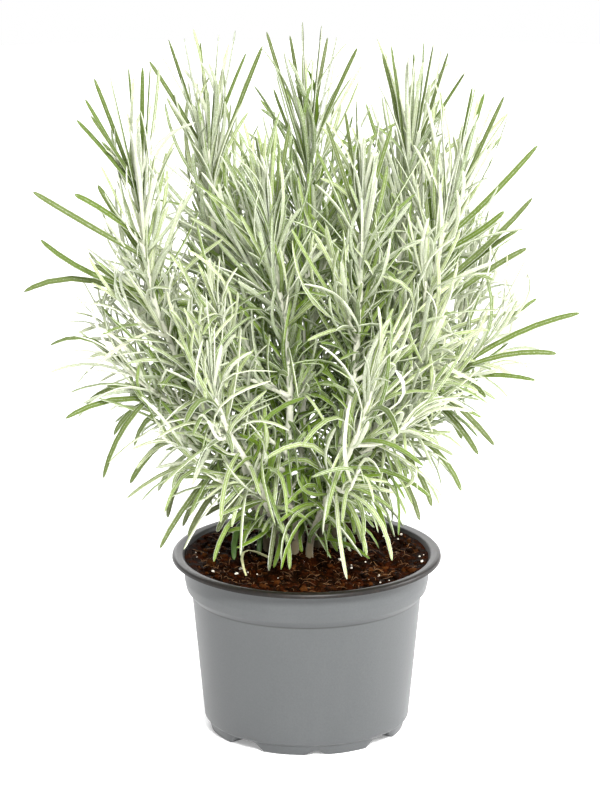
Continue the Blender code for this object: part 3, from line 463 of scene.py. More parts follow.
def smooth_line(path):
    """Points on a smooth curve through the points of a path."""
    knots = np.array(path, float)
    knots = np.vstack((2 * knots[0] - knots[1], knots, 2 * knots[-1] - knots[-2]))
    line = []
    for before, start, end, after in zip(knots, knots[1:], knots[2:], knots[3:]):
        count = max(1, round(np.linalg.norm(end - start) / LINE_STEP))
        for share in np.arange(count) / count:
            line.append(0.5 * (2 * start + (end - before) * share
                               + (2 * before - 5 * start + 4 * end - after) * share ** 2
                               + (3 * start - before - 3 * end + after) * share ** 3))
    return np.array(line + [knots[-2]])


class Axis:
    """The middle line of a stem or shoot, and its thickness along it."""

    def __init__(self, stem, kind):
        self.node = stem.node
        self.opening = stem.opening
        self.kind = kind
        self.spacing = SPACINGS[kind]
        self.line = smooth_line(stem.path)
        steps = np.linalg.norm(np.diff(self.line, axis=0), axis=1)
        self.along = np.concatenate(((0.0,), np.cumsum(steps)))
        self.length = self.along[-1]
        self.radii = (stem.foot_radius, stem.tip_radius)

    def at(self, along):
        """The point, or points, so far along the axis."""
        return np.stack([np.interp(along, self.along, column) for column in self.line.T], axis=-1)

    def ahead(self, along):
        start = min(max(along - AHEAD_SPAN / 2, 0.0), self.length - AHEAD_SPAN)
        return unit(self.at(start + AHEAD_SPAN) - self.at(start))

    def radius(self, along):
        return np.interp(along, (0.0, self.length), self.radii)

    def drawn_length(self):
        return self.length - (TIP_CUT if self.kind == "stem" else 0.0)

    def spots(self):
        """Test points with their radius, for keeping other growth clear."""
        places = np.arange(0.0, self.length, SPOT_STEP)
        return np.column_stack((self.at(places), self.radius(places)))

    def nearest(self, point):
        """Where along this axis a point lies nearest, and how far from it."""
        places = np.arange(0.0, self.length, 1.0)
        gaps = np.linalg.norm(self.at(places) - point, axis=1)
        return places[gaps.argmin()], gaps.min()


class Leaf:
    """A narrow leaf through its root, knee and tip, whose upper face turns to the shoot's tip."""

    def __init__(self, axis, place, knee, tip, width):
        self.node = axis.node
        self.root = axis.at(place)
        self.axis = axis
        self.age = axis.length - place
        self.shows_face = False
        self.knee, self.tip, self.width = knee, tip, width
        self.side = unit(np.cross(tip - self.root, axis.ahead(place)))

    def line(self, shares):
        """Points on the smooth curve from root to tip that passes through the knee."""
        shares = np.asarray(shares, float)[:, None]
        pull = 2 * self.knee - (self.root + self.tip) / 2
        return (self.root * (1 - shares) ** 2 + 2 * pull * shares * (1 - shares)
                + self.tip * shares ** 2)

    def bend(self):
        """How far the knee lies from the straight line between root and tip."""
        chord = unit(self.tip - self.root)
        return np.linalg.norm(np.cross(chord, self.knee - self.root))

    def half_width(self, shares):
        return self.width / 2 * np.interp(shares, WIDTH_PLACES, WIDTH_SHARES)

    def spots(self):
        """Test points from root to tip, on the curve and on the straight line under it."""
        count = max(round(np.linalg.norm(self.tip - self.root) / SPOT_STEP), 3)
        shares = np.linspace(0.0, 1.0, count)
        straight = self.root + np.outer(shares, self.tip - self.root)
        widths = self.half_width(shares)
        both = np.stack((np.column_stack((self.line(shares), widths)),
                         np.column_stack((straight, widths))), axis=1)
        return both.reshape(-1, 4) if self.bend() < LEAST_BEND else both[:, 0]


class Crowd:
    """Test points along all that has grown, so that new growth keeps clear of it."""

    def __init__(self):
        self.spots = np.empty((0, 4))
        self.nodes = np.empty(0, dtype=int)
        self.names = []

    def number(self, node):
        if node not in self.names:
            self.names.append(node)
        return self.names.index(node)

    def add(self, node, spots):
        self.spots = np.vstack((self.spots, spots))
        self.nodes = np.append(self.nodes, [self.number(node)] * len(spots))

    def least_gap(self, spots, among):
        """The least gap between these spots and the crowd's spots that the mask picks."""
        spots = np.asarray(spots)
        low = spots[:, :3].min(axis=0) - SPOT_REACH
        high = spots[:, :3].max(axis=0) + SPOT_REACH
        near = among & np.all((self.spots[:, :3] > low) & (self.spots[:, :3] < high), axis=1)
        if not near.any():
            return SPOT_REACH
        others = self.spots[near]
        apart = np.linalg.norm(others[:, None, :3] - spots[None, :, :3], axis=2)
        return (apart - others[:, None, 3] - spots[None, :, 3]).min()

    def has_room(self, node, spots, node_gap, own_gap, root_share):
        """Whether a leaf or shoot clears the other stems, and past its root its own stem too."""
        own = self.nodes == self.number(node)
        if self.least_gap(spots, ~own) < node_gap:
            return False
        free_part = spots[math.ceil(len(spots) * root_share):]
        return self.least_gap(free_part, own) > own_gap

    def admits(self, node, spots, *gaps):
        """Takes in a leaf or shoot that has room, and says whether it had."""
        room = self.has_room(node, spots, *gaps)
        if room:
            self.add(node, spots)
        return room


def inside_envelope(tip):
    half_width, half_depth, height = ENVELOPE
    round_enough = (tip[0] / half_width) ** 2 + (tip[1] / half_depth) ** 2 <= 1.0
    return round_enough and LOWEST_TIP <= tip[2] <= height


def outward_from(ahead, turn):
    """The direction square to an axis at a turn round it."""
    across = unit(np.cross(ahead, ACROSS_GUIDE))
    return across * math.cos(turn) + np.cross(ahead, across) * math.sin(turn)


def leaf_by_rule(axis, place, turn, random):
    """A leaf that leaves an axis at a place and turn, opened and bent by its age and height."""
    age = axis.length - place
    root = axis.at(place)
    ahead = axis.ahead(place)
    angle = math.radians(np.interp(age, LEAF_AGES, LEAF_ANGLES) * axis.opening
                         + random.normal(0.0, ANGLE_SPREAD))
    length = np.interp(age, LEAF_AGES, LEAF_LENGTHS) * random.uniform(*LENGTH_SPREAD)
    droop = np.interp(root[2], DROOP_HEIGHTS, DROOPS) * random.uniform(*DROOP_SPREAD)
    down = np.array((0.0, 0.0, -droop))
    start = unit(ahead * math.cos(angle) + outward_from(ahead, turn) * math.sin(angle)
                 + INNER_DROOP * down)
    end = unit(start + down + WAVER * random.normal(size=3))
    knee = root + start * length * KNEE
    tip = knee + end * length * (1 - KNEE)
    return Leaf(axis, place, knee, tip, np.interp(age, LEAF_AGES, LEAF_WIDTHS))


def shoot_by_rule(parent, place, length, turn):
    """A side shoot that leaves its parent at a place and turn, and then rises."""
    root, ahead = parent.at(place), parent.ahead(place)
    start = unit(ahead + outward_from(ahead, turn) * math.tan(SHOOT_ANGLE))
    end = unit(start + (0.0, 0.0, SHOOT_RISE))
    knee = root + start * length / 2
    path = (root, knee, knee + end * length / 2)
    return Axis(Stem(parent.node, path, *SHOOT_RADII, SHOOT_OPENING), "shoot")


def grow_shoots(axes, crowd, random):
    """Side shoots in a spiral round each stem, where they have room."""
    shoots = []
    for parent in axes:
        for order, place in enumerate(SHOOT_PLACES):
            length = np.interp(order, (0, len(SHOOT_PLACES) - 1), SHOOT_LENGTHS)
            for _ in range(TRIES if place < parent.length - BARE_TOP else 0):
                turn = order * GOLDEN_TURN + random.uniform(0.0, 2 * math.pi)
                spread = random.uniform(-SHOOT_PLACE_SPREAD, SHOOT_PLACE_SPREAD)
                shoot = shoot_by_rule(parent, place + spread, length, turn)
                root, tip = shoot.line[0], shoot.line[-1]
                outward = np.dot(tip[:2] - root[:2], root[:2] - CROWN)
                if outward > INWARD_LIMIT and crowd.admits(parent.node, shoot.spots(), SHOOT_GAP,
                                                           SHOOT_GAP, SHOOT_ROOT_SHARE):
                    shoots.append(shoot)
                    break
    return shoots


def outline_targets(axes):
    """For each leaf of the outline: its axis, its place there, knee, tip and width."""
    targets = []
    for node, tips in TUFT_TIPS.items():
        axis = next(axis for axis in axes if axis.node == node)
        far_first = sorted(tips, key=lambda tip: -np.linalg.norm(tip - axis.line[-1]))
        for order, tip in enumerate(reversed(far_first)):
            place = axis.length - TUFT_ROOTS[0] - TUFT_ROOTS[1] * order
            root = axis.at(place)
            knee = (root + tip) / 2 + unit(axis.line[-1] - root) * TUFT_BOW
            targets.append((axis, place, knee, np.array(tip, float), TUFT_WIDTH))
    for node, *rows in OUTER_LEAVES:
        own = [axis for axis in axes if axis.node == node]
        for root, knee, tip in np.array(rows, float):
            axis = min(own, key=lambda axis: axis.nearest(root)[1])
            targets.append((axis, axis.nearest(root)[0], knee, tip, OUTER_WIDTH))
    return targets


def grow_outline(axes, crowd):
    """The outline's leaves, each bent clear of the other stems in the direction of the view."""
    leaves = []
    for axis, place, knee, tip, width in outline_targets(axes):
        for shift in DEPTH_SHIFTS:
            leaf = Leaf(axis, place, knee + (0, shift * KNEE_SHIFT, 0), tip + (0, shift, 0),
                        width)
            leaf.shows_face = True
            if crowd.admits(leaf.node, leaf.spots(), NODE_GAP, OUTLINE_OWN_GAP, ROOT_SHARE):
                leaves.append(leaf)
                break
    return leaves


def grow_leaves(axes, crowd, random):
    """Leaves in a spiral down each axis from its tip, each where it has room."""
    leaves = []
    for axis in axes:
        place = axis.length - TIP_MARGIN
        order = 0
        while place > FOOT_MARGIN and axis.at(place)[2] > LOWEST_LEAF:
            for attempt in range(TRIES):
                spread = TURN_SPREAD[0] + TURN_SPREAD[1] * attempt
                turn = order * GOLDEN_TURN + random.normal(0.0, spread)
                leaf = leaf_by_rule(axis, place, turn, random)
                if inside_envelope(leaf.tip) and crowd.admits(axis.node, leaf.spots(), NODE_GAP,
                                                              OWN_GAP, ROOT_SHARE):
                    leaves.append(leaf)
                    break
            age = axis.length - place
            place -= np.interp(age, LEAF_AGES, LEAF_SPACINGS) * axis.spacing
            order += 1
    return leaves


def grow_plant():
    """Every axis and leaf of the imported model, and the crowd they make."""
    crowd = Crowd()
    axes = [Axis(stem, "stem") for stem in STEMS]
    axes += [Axis(branch, "branch") for branch in BRANCHES]
    for axis in axes:
        crowd.add(axis.node, axis.spots())
    axes += grow_shoots(axes, crowd, np.random.default_rng(SHOOT_SEED))
    leaves = grow_outline(axes, crowd)
    leaves += grow_leaves(axes, crowd, np.random.default_rng(LEAF_SEED))
    return axes, leaves, crowd


def fine_leaf(axis, place, turn, size, random):
    """A finer leaf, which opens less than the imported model's and bows up on the upper growth."""
    age = axis.drawn_length() - place
    root, ahead = axis.at(place), axis.ahead(place)
    spread = np.interp(age, (0.0, LEAF_AGES[3]), FINE_ANGLE_SPREAD)
    angle = math.radians(np.interp(age, LEAF_AGES, FINE_ANGLES) * axis.opening
                         + random.normal(0.0, spread))
    length = (np.interp(age, LEAF_AGES, FINE_LENGTHS) * random.uniform(*FINE_LENGTH_SPREAD)
              * size * np.interp(root[2], FILL_HEIGHTS, FILL_LENGTHS))
    droop = np.interp(root[2], DROOP_HEIGHTS, DROOPS) * random.uniform(*FINE_DROOP_SPREAD)
    waver = np.interp(root[2], RISE_HEIGHTS, FINE_WAVERS)
    rise = np.interp(root[2], RISE_HEIGHTS, (0.0, RISE)) * random.uniform(*RISE_SPREAD)
    outward = outward_from(ahead, turn)
    start = unit(ahead * math.cos(angle) + outward * math.sin(angle)
                 + (0, 0, -FINE_INNER_DROOP * droop))
    end = unit(start + (0, 0, rise - droop) + waver * random.normal(size=3))
    knee = root + start * length * KNEE
    return Leaf(axis, place, knee, knee + end * length * (1 - KNEE),
                np.interp(age, LEAF_AGES, FINE_WIDTHS))


def fine_tip_fits(tip, random):
    reach = np.interp(tip[2], *FINE_REACHES) * random.uniform(*REACH_SPREAD)
    raised = (tip[0], tip[1], max(tip[2], LOWEST_TIP))
    return tip[2] > FINE_LOWEST_TIP and math.hypot(*tip[:2]) < reach and inside_envelope(raised)


def seen_from_front(points):
    """Points as the photo's viewer sees them: how far right, how far up and how far away."""
    x, y, z = points[:, :3].T
    return np.column_stack((x, z * math.cos(VIEW_TILT) + y * math.sin(VIEW_TILT),
                            y * math.cos(VIEW_TILT) - z * math.sin(VIEW_TILT)))


def hides_stem(leaf, spots, shown):
    """Whether a leaf lies before one of the stems that stay in view."""
    seen = seen_from_front(spots)
    for axis, line in shown:
        apart = np.linalg.norm(seen[:, None, :2] - line[None, :, :2], axis=2)
        nearer = seen[:, None, 2] < line[None, :, 2]
        if axis is not leaf.axis and (nearer & (apart < ASIDE)).any():
            return True
    return False


def shown_stems(axes):
    shown = []
    for axis in axes:
        if axis.kind == "stem" and axis.node in SHOWN_STEMS:
            spots = axis.spots()
            shown.append((axis, seen_from_front(spots[spots[:, 2] > SHOWN_FROM])))
    return shown


def grow_fine_leaves(axes, crowd, random):
    """The finer leaves, in a denser spiral down each axis."""
    leaves = []
    shown = shown_stems(axes)
    for axis in axes:
        place = axis.drawn_length()
        order = 0
        while place > FOOT_MARGIN and axis.at(place)[2] > FINE_LOWEST_LEAF:
            fill = np.interp(axis.at(place)[2], FILL_HEIGHTS, FILL_SHARES)
            for attempt in range(FINE_TRIES if random.uniform() < fill else 0):
                turn = order * GOLDEN_TURN + random.normal(0.0, FINE_TURN_SPREAD)
                leaf = fine_leaf(axis, place, turn, SHRINK ** attempt, random)
                spots = leaf.spots()
                if random.uniform() < ASIDE_SHARE and hides_stem(leaf, spots, shown):
                    continue
                if fine_tip_fits(leaf.tip, random) and crowd.admits(
                        axis.node, spots, FINE_GAP, FINE_OWN_GAP, ROOT_SHARE):
                    leaves.append(leaf)
                    break
            age = axis.drawn_length() - place
            spacing = np.interp(axis.at(place)[2], *FINE_SPACINGS) * axis.spacing
            place -= np.interp(age, LEAF_AGES, LEAF_SPACINGS) * spacing
            order += 1
    return leaves


def grow_twigs(axes, crowd, random):
    """Short twigs in the angles of the older leaves, and their small leaves."""
    twigs = []
    leaves = []
    shown = shown_stems(axes)
    for axis in axes:
        for order, age in enumerate(TWIG_PLACES):
            place = axis.length - age + random.uniform(-TWIG_PLACE_SPREAD, TWIG_PLACE_SPREAD)
            if axis.kind == "shoot" or place < FOOT_MARGIN or axis.at(place)[2] < TWIG_LOWEST:
                continue
            ahead = axis.ahead(place)
            turn = order * GOLDEN_TURN + random.uniform(0.0, 2 * math.pi)
            start = unit(ahead + outward_from(ahead, turn) * random.uniform(*TWIG_LEAN))
            end = unit(start + (0.0, 0.0, TWIG_RISE))
            length = random.uniform(*TWIG_LENGTH)
            root = axis.at(place)
            path = (root, root + start * length / 2, root + (start + end) * length / 2)
            twig = Axis(Stem(axis.node, path, *TWIG_RADII, TWIG_OPENING), "shoot")
            grown = []
            for count in range(round(length / TWIG_SPACING)):
                place = max(twig.length - TWIG_SPACING * count, TWIG_FOOT_MARGIN)
                size = TWIG_LEAF_SIZE * random.uniform(*TWIG_SIZE_SPREAD)
                leaf = fine_leaf(twig, place, count * GOLDEN_TURN, size, random)
                leaf.width *= TWIG_LEAF_WIDTH
                leaf.age = TWIG_AGE_SHARE * age
                if hides_stem(leaf, leaf.spots(), shown):
                    continue
                if fine_tip_fits(leaf.tip, random) and crowd.has_room(
                        axis.node, leaf.spots(), TWIG_GAP, TWIG_GAP, TWIG_ROOT_SHARE):
                    grown.append(leaf)
            if len(grown) >= TWIG_LEAST_LEAVES:
                twigs.append(twig)
                for leaf in grown:
                    crowd.add(leaf.node, leaf.spots())
                leaves += grown
    return twigs, leaves


def root_lower(leaf):
    """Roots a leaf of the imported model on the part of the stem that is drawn."""
    if leaf.axis.kind == "stem" and leaf.age < TIP_CUT_SPAN:
        age = TIP_CUT + leaf.age * (1 - TIP_CUT / TIP_CUT_SPAN)
        leaf.root = leaf.axis.at(leaf.axis.length - age)
        leaf.knee = leaf.knee + (leaf.root - leaf.axis.at(leaf.axis.length - leaf.age)) / 2


def grow_all():
    """Every axis and leaf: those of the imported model, and then the finer ones and the twigs."""
    axes, leaves, crowd = grow_plant()
    for leaf in leaves:
        root_lower(leaf)
    twigs, small_leaves = grow_twigs(axes, crowd, np.random.default_rng(TWIG_SEED))
    leaves += grow_fine_leaves(axes, crowd, np.random.default_rng(FINE_SEED))
    return axes + twigs, leaves + small_leaves


def to_metres(points):
    return np.asarray(points, float) * 0.001


def linear(hex_colour):
    """A colour from its sRGB hex value, as Blender's linear red, green, blue and alpha."""
    levels = [int(hex_colour[place:place + 2], 16) / 255 for place in (1, 3, 5)]
    return (*(level / 12.92 if level <= 0.04045 else ((level + 0.055) / 1.055) ** 2.4
              for level in levels), 1.0)


def per_mm(size):
    """The scale at which a pattern in object coordinates has features of this size."""
    return 1000.0 / size


def add_node(tree, kind, inputs, output=0, **settings):
    """One output of a new node, whose inputs are set to values or linked from other outputs."""
    made = tree.nodes.new("ShaderNode" + kind)
    for name, value in settings.items():
        setattr(made, name, value)
    for name, value in inputs.items():
        if isinstance(value, bpy.types.NodeSocket):
            tree.links.new(value, made.inputs[name])
        else:
            made.inputs[name].default_value = value
    return made.outputs[output]


def new_material(name, uniform):
    """A material whose shader has these uniform values, and its node tree."""
    material = bpy.data.materials.new(name)
    material.use_nodes = True
    for socket, value in uniform.items():
        material.node_tree.nodes["Principled BSDF"].inputs[socket].default_value = value
    return material, material.node_tree


# Inputs and output of a Mix node that mixes colours
FACTOR, UNDER, OVER, MIXED = 0, 6, 7, 2


def finish_surface(material, base, layers, gloss=None, relief=None):
    """The material with its base colour and the layers over it, each of them a mask, a colour and
    perhaps a way to mix, its roughness, and its relief, which is a height, strength and depth."""
    tree = material.node_tree
    colour = linear(base)
    for mask, over, *way in layers:
        over = linear(over) if isinstance(over, str) else over
        colour = add_node(tree, "Mix", {FACTOR: mask, UNDER: colour, OVER: over}, MIXED,
                          data_type="RGBA", blend_type=way[0] if way else "MIX")
    bump = None
    if relief:
        height, strength, depth = relief
        bump = add_node(tree, "Bump", {"Height": height, "Strength": strength, "Distance": depth})
    shader = tree.nodes["Principled BSDF"]
    for name, source in (("Base Color", colour), ("Roughness", gloss), ("Normal", bump)):
        if source:
            tree.links.new(source, shader.inputs[name])
    return material


def woolly_leaf():
    """Living leaf in white wool: pale and greyed on young growth, greener on old and, partly as
    painted shade, near the bush's middle, with a green groove along the upper face where the wool is
    thinnest, and painted darker to an olive grey, as painted shade, where it stands out of the bush."""
    material, tree = new_material("woolly_leaf", {
        "Roughness": 0.65, "IOR": 1.35, "Sheen Weight": 0.08, "Sheen Roughness": 0.5})
    place = add_node(tree, "TexCoord", {}, "Object")
    age, tone, wool = (add_node(tree, "Attribute", {}, "Fac", attribute_name=name)
                       for name in ("age", "tone", "wool"))
    felt = add_node(tree, "TexNoise", {
        "Vector": place, "Scale": per_mm(WOOL_FELT), "Detail": 3.0, "Roughness": 0.6})
    cover = add_node(tree, "MapRange", {"Value": age, "To Min": -0.33, "To Max": -0.86})
    for value, weight in zip((tone, felt, wool), COVER_WEIGHTS):
        cover = add_node(tree, "Math", {0: value, 1: weight, 2: cover}, operation="MULTIPLY_ADD",
                         use_clamp=value is wool)
    deepened = add_node(tree, "MapRange", {"Value": tone, "From Min": 0.35, "To Max": 0.85})
    # painted shade: the leaves that stand out of the bush, aged 1 to 2, are darkened to an olive
    # grey
    outline_shade = add_node(tree, "MapRange", {"Value": age, "From Min": 1.0, "From Max": 2.0})
    return finish_surface(material, YOUNG_LEAF, (
        (age, OLD_LEAF), (deepened, DEEP_GREEN), (outline_shade, OUTLINE_SHADE_GREY),
        (cover, LEAF_WOOL)), relief=(felt, 0.35, 0.00012))


def woolly_stem():
    """Stem in thick white wool, which is rubbed off the tan bark towards the foot."""
    material, tree = new_material("woolly_stem", {
        "Roughness": 0.8, "IOR": 1.45, "Sheen Weight": 0.15, "Sheen Roughness": 0.5})
    place = add_node(tree, "TexCoord", {}, "Object")
    age = add_node(tree, "Attribute", {}, "Fac", attribute_name="age")
    stretched = add_node(tree, "Mapping", {"Vector": place, "Scale": (1.0, 1.0, 0.25)})
    felt = add_node(tree, "TexNoise", {
        "Vector": stretched, "Scale": per_mm(WOOL_FELT), "Detail": 3.0})
    worn = add_node(tree, "MapRange", {
        "Value": felt, "From Min": 0.4, "From Max": 0.65, "To Max": 0.35})
    return finish_surface(material, STEM_WOOL, ((worn, STEM_GREEN), (age, STEM_BARK)),
                          relief=(felt, 0.6, 0.0003))


def bare_leaf(name, roughness, blotch_size, dark, light):
    """Leaf that has lost its wool, with blotches between two colours."""
    material, tree = new_material(name, {"Roughness": roughness, "IOR": 1.45})
    blotches = add_node(tree, "TexNoise", {
        "Vector": add_node(tree, "TexCoord", {}, "Object"), "Scale": per_mm(blotch_size),
        "Detail": 2.0})
    return finish_surface(material, dark, ((blotches, light),))


def grey_plastic():
    """Thermoformed polypropylene with a grey outer layer: an even grey with the faint mottling and
    orange peel of a drawn sheet, a satin gloss, and a thin dark line of painted shade in the crease
    under the collar."""
    material, tree = new_material("grey_polypropylene", {"Roughness": 0.45, "IOR": 1.49})
    place = add_node(tree, "TexCoord", {}, "Object")
    grain = add_node(tree, "TexNoise", {
        "Vector": place, "Scale": per_mm(PLASTIC_GRAIN), "Detail": 4.0, "Roughness": 0.7})
    drawn = add_node(tree, "Mapping", {"Vector": place, "Scale": (1.0, 1.0, 0.3)})
    cloud = add_node(tree, "TexNoise", {
        "Vector": drawn, "Scale": per_mm(PLASTIC_CLOUD), "Detail": 3.0})
    speckle = add_node(tree, "MapRange", {"Value": grain, "From Min": 0.3, "From Max": 0.7})
    height = add_node(tree, "SeparateXYZ", {"Vector": place}, "Z")
    above = add_node(tree, "Math", {0: height, 1: CREASE_HEIGHT / 1000}, operation="SUBTRACT")
    apart = add_node(tree, "Math", {0: above}, operation="ABSOLUTE")
    # painted shade: a thin dark band along the crease under the collar, where the real pot is shaded
    crease_shade = add_node(tree, "MapRange", {
        "Value": apart, "From Min": 0.0002, "From Max": 0.0007, "To Min": 0.6, "To Max": 0.0})
    gloss = add_node(tree, "MapRange", {"Value": cloud, "To Min": 0.4, "To Max": 0.52})
    return finish_surface(material, PLASTIC_DARK, (
        (cloud, PLASTIC_LIGHT), (0.08, speckle, "OVERLAY"), (crease_shade, CREASE_PAINTED_SHADE)),
                          gloss, (grain, 0.3, 0.0001))


def black_plastic():
    """The same sheet's black inner layer, which rolls over the rim: brownish black and smoother,
    so it mirrors the pale surroundings at a low angle. Peat dust clings to it."""
    material, tree = new_material("black_polypropylene", {"Roughness": 0.42, "IOR": 1.4})
    place = add_node(tree, "TexCoord", {}, "Object")
    dust = add_node(tree, "TexNoise", {
        "Vector": place, "Scale": per_mm(PEAT_DUST), "Detail": 4.0, "Roughness": 0.7})
    dusty = add_node(tree, "MapRange", {
        "Value": dust, "From Min": 0.52, "From Max": 0.75, "To Max": 0.6})
    gloss = add_node(tree, "MapRange", {"Value": dust, "To Min": 0.34, "To Max": 0.5})
    return finish_surface(material, "#120E0B", ((dusty, "#33271D"),), gloss)


def moist_peat():
    """Moist peat compost: dark crumbs with red-brown fibres in them, matt with a few wet glints."""
    material, tree = new_material("moist_peat", {"Roughness": 0.8, "IOR": 1.08})
    place = add_node(tree, "TexCoord", {}, "Object")
    tone = add_node(tree, "Attribute", {}, "Fac", attribute_name="tone")
    clods = add_node(tree, "TexNoise", {
        "Vector": place, "Scale": per_mm(PEAT_CLOD), "Detail": 5.0, "Roughness": 0.65})
    grit = add_node(tree, "TexNoise", {
        "Vector": place, "Scale": per_mm(PEAT_GRIT), "Detail": 4.0, "Roughness": 0.7})
    red = add_node(tree, "MapRange", {
        "Value": clods, "From Min": 0.47, "From Max": 0.68, "To Max": 0.7})
    bleached = add_node(tree, "MapRange", {"Value": tone, "From Min": 0.72, "To Max": 0.55})
    light = add_node(tree, "MapRange", {
        "Value": grit, "From Min": 0.58, "From Max": 0.74, "To Max": 0.55})
    wet = add_node(tree, "MapRange", {
        "Value": clods, "From Min": 0.35, "From Max": 0.6, "To Min": 0.5, "To Max": 0.95})
    return finish_surface(material, PEAT_DARK, (
        (tone, PEAT_BROWN), (red, PEAT_RED), (bleached, PEAT_DRY), (light, PEAT_FIBRE)),
                          wet, (grit, 0.9, 0.0006))


def peat_fibre():
    """Root and moss fibres: dry tan to reddish threads."""
    material, tree = new_material("peat_fibre", {"Roughness": 0.75, "IOR": 1.45})
    tone = add_node(tree, "Attribute", {}, "Fac", attribute_name="tone")
    return finish_surface(material, "#3E1F0F", ((tone, "#85603A"),))


def perlite():
    """Expanded perlite: chalk-white porous grains, stained a little by the peat."""
    material, tree = new_material("perlite", {"Roughness": 0.85, "IOR": 1.5})
    pores = add_node(tree, "TexNoise", {
        "Vector": add_node(tree, "TexCoord", {}, "Object"), "Scale": per_mm(PERLITE_PORE),
        "Detail": 3.0})
    stain = add_node(tree, "MapRange", {"Value": pores, "From Min": 0.5, "From Max": 0.75})
    return finish_surface(material, "#EFE9DC", ((stain, "#A58C6E"),), relief=(pores, 0.6, 0.0003))


def light_table():
    """White acrylic light table under the pot: matt, with the faintest cloudiness, and glowing a
    little, so that hardly any shadow shows."""
    material, tree = new_material("opal_acrylic", {
        "Roughness": 0.9, "IOR": 1.5, "Emission Color": linear("#FFFFFF"),
        "Emission Strength": TABLE_GLOW})
    cloud = add_node(tree, "TexNoise", {
        "Vector": add_node(tree, "TexCoord", {}, "Object"), "Scale": per_mm(TABLE_CLOUD),
        "Detail": 2.0})
    return finish_surface(material, "#F4F4F4", ((cloud, "#F8F8F8"),))


class Shape:
    """The vertices, faces and point values of one piece, gathered part by part."""

    def __init__(self):
        self.points = []
        self.faces = []
        self.materials = []
        self.values = {}
        self.size = 0

    def add(self, points, faces, material=0, **values):
        """Adds a part. Each value is one number, or one for each of its points."""
        self.faces += [[corner + self.size for corner in face] for face in faces]
        self.materials += [material] * len(faces)
        for name, value in values.items():
            column = self.values.setdefault(name, [])
            column += [0.0] * (self.size - len(column))
            column += list(np.broadcast_to(value, len(points)))
        self.points.append(np.asarray(points))
        self.size += len(points)

    def piece(self, name, materials, slot, node=None):
        """The gathered parts as one smooth object that rides on the plant's body."""
        mesh = bpy.data.meshes.new(name)
        mesh.from_pydata(to_metres(np.concatenate(self.points)), [], self.faces)
        for column_name, column in self.values.items():
            column += [0.0] * (self.size - len(column))
            attribute = mesh.attributes.new(column_name, "FLOAT", "POINT")
            attribute.data.foreach_set("value", np.array(column, np.float32))
        for material in materials:
            mesh.materials.append(material)
        mesh.polygons.foreach_set("material_index", self.materials)
        mesh.shade_smooth()
        return finish_piece(name, mesh, node)


def add_object(name, data):
    """A new object in the scene."""
    made = bpy.data.objects.new(name, data)
    bpy.context.scene.collection.objects.link(made)
    return made


def mesh_of(form, name):
    """A mesh with the faces of a bmesh, which is freed."""
    mesh = bpy.data.meshes.new(name)
    form.to_mesh(mesh)
    form.free()
    return mesh


def finish_piece(name, mesh, node=None):
    """An object with a mesh that rides on the plant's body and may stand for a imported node."""
    made = add_object(name, mesh)
    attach(made, "root")
    if node:
        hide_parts(node)
    return made


def ring_faces(rows, sides):
    """The faces of a closed tube of rings, with both ends capped."""
    faces = [(row * sides + side, row * sides + (side + 1) % sides,
              (row + 1) * sides + (side + 1) % sides, (row + 1) * sides + side)
             for row in range(rows - 1) for side in range(sides)]
    faces.append(tuple(reversed(range(sides))))
    faces.append(tuple((rows - 1) * sides + side for side in range(sides)))
    return faces


BLADE_FACES = ring_faces(len(STATIONS), len(SECTION))


def normalised(rows):
    return rows / np.linalg.norm(rows, axis=1)[:, None]


def blade_points(leaf, roll, twist):
    """The points of a grooved blade along a leaf's line, rolled and twisted about it."""
    shares = np.array(STATIONS)
    middle = leaf.line(shares)
    ahead = normalised(leaf.line(shares + 0.01) - leaf.line(shares - 0.01))
    side = normalised(leaf.side - ahead * (ahead @ leaf.side)[:, None])
    up = np.cross(side, ahead)
    turn = (roll + twist * shares)[:, None]
    turned_side = side * np.cos(turn) + up * np.sin(turn)
    turned_up = up * np.cos(turn) - side * np.sin(turn)
    broader = OUTLINE_BROADER if leaf.shows_face else 1.0
    half = np.array(STATION_WIDTHS) * leaf.width / 2 * broader
    points = [middle + turned_side * (across * half)[:, None] + turned_up * (rise * half)[:, None]
              for across, rise, _ in SECTION]
    return np.stack(points, axis=1).reshape(-1, 3)


def tube_points(line, radii, sides):
    """The points of rings round a line, each square to it and not twisted from the last."""
    ahead = normalised(np.gradient(line, axis=0))
    across = unit(np.cross(ahead[0], ACROSS_GUIDE))
    rings = []
    turns = np.arange(sides) * 2 * math.pi / sides
    for centre, direction, radius in zip(line, ahead, radii):
        across = unit(across - direction * np.dot(across, direction))
        other = np.cross(direction, across)
        ring = np.outer(np.cos(turns), across) + np.outer(np.sin(turns), other)
        rings.append(centre + ring * radius)
    return np.concatenate(rings)


def add_stem_tube(shape, axis, random):
    """A stem or shoot as a slightly knobbly tube that ends in a rounded tip."""
    sides = SHOOT_SIDES if axis.kind == "shoot" else STEM_SIDES
    places = np.linspace(0.0, axis.drawn_length(), max(round(axis.length / STEM_STEP), 3))
    line = axis.at(places)
    radii = axis.radius(places) * (1 + STEM_SWELL * random.normal(size=len(places)))
    tip = line[-1] + np.outer(TIP_REACHES, axis.ahead(places[-1])) * radii[-1]
    line = np.vstack((line, tip))
    radii = np.append(radii, radii[-1] * np.array(TIP_RADII))
    points = tube_points(line, radii, sides)
    bark = np.interp(points[:, 2], STEM_BARK_HEIGHTS, (1.0, 0.0))
    shape.add(points, ring_faces(len(line), sides), material=1, age=bark)


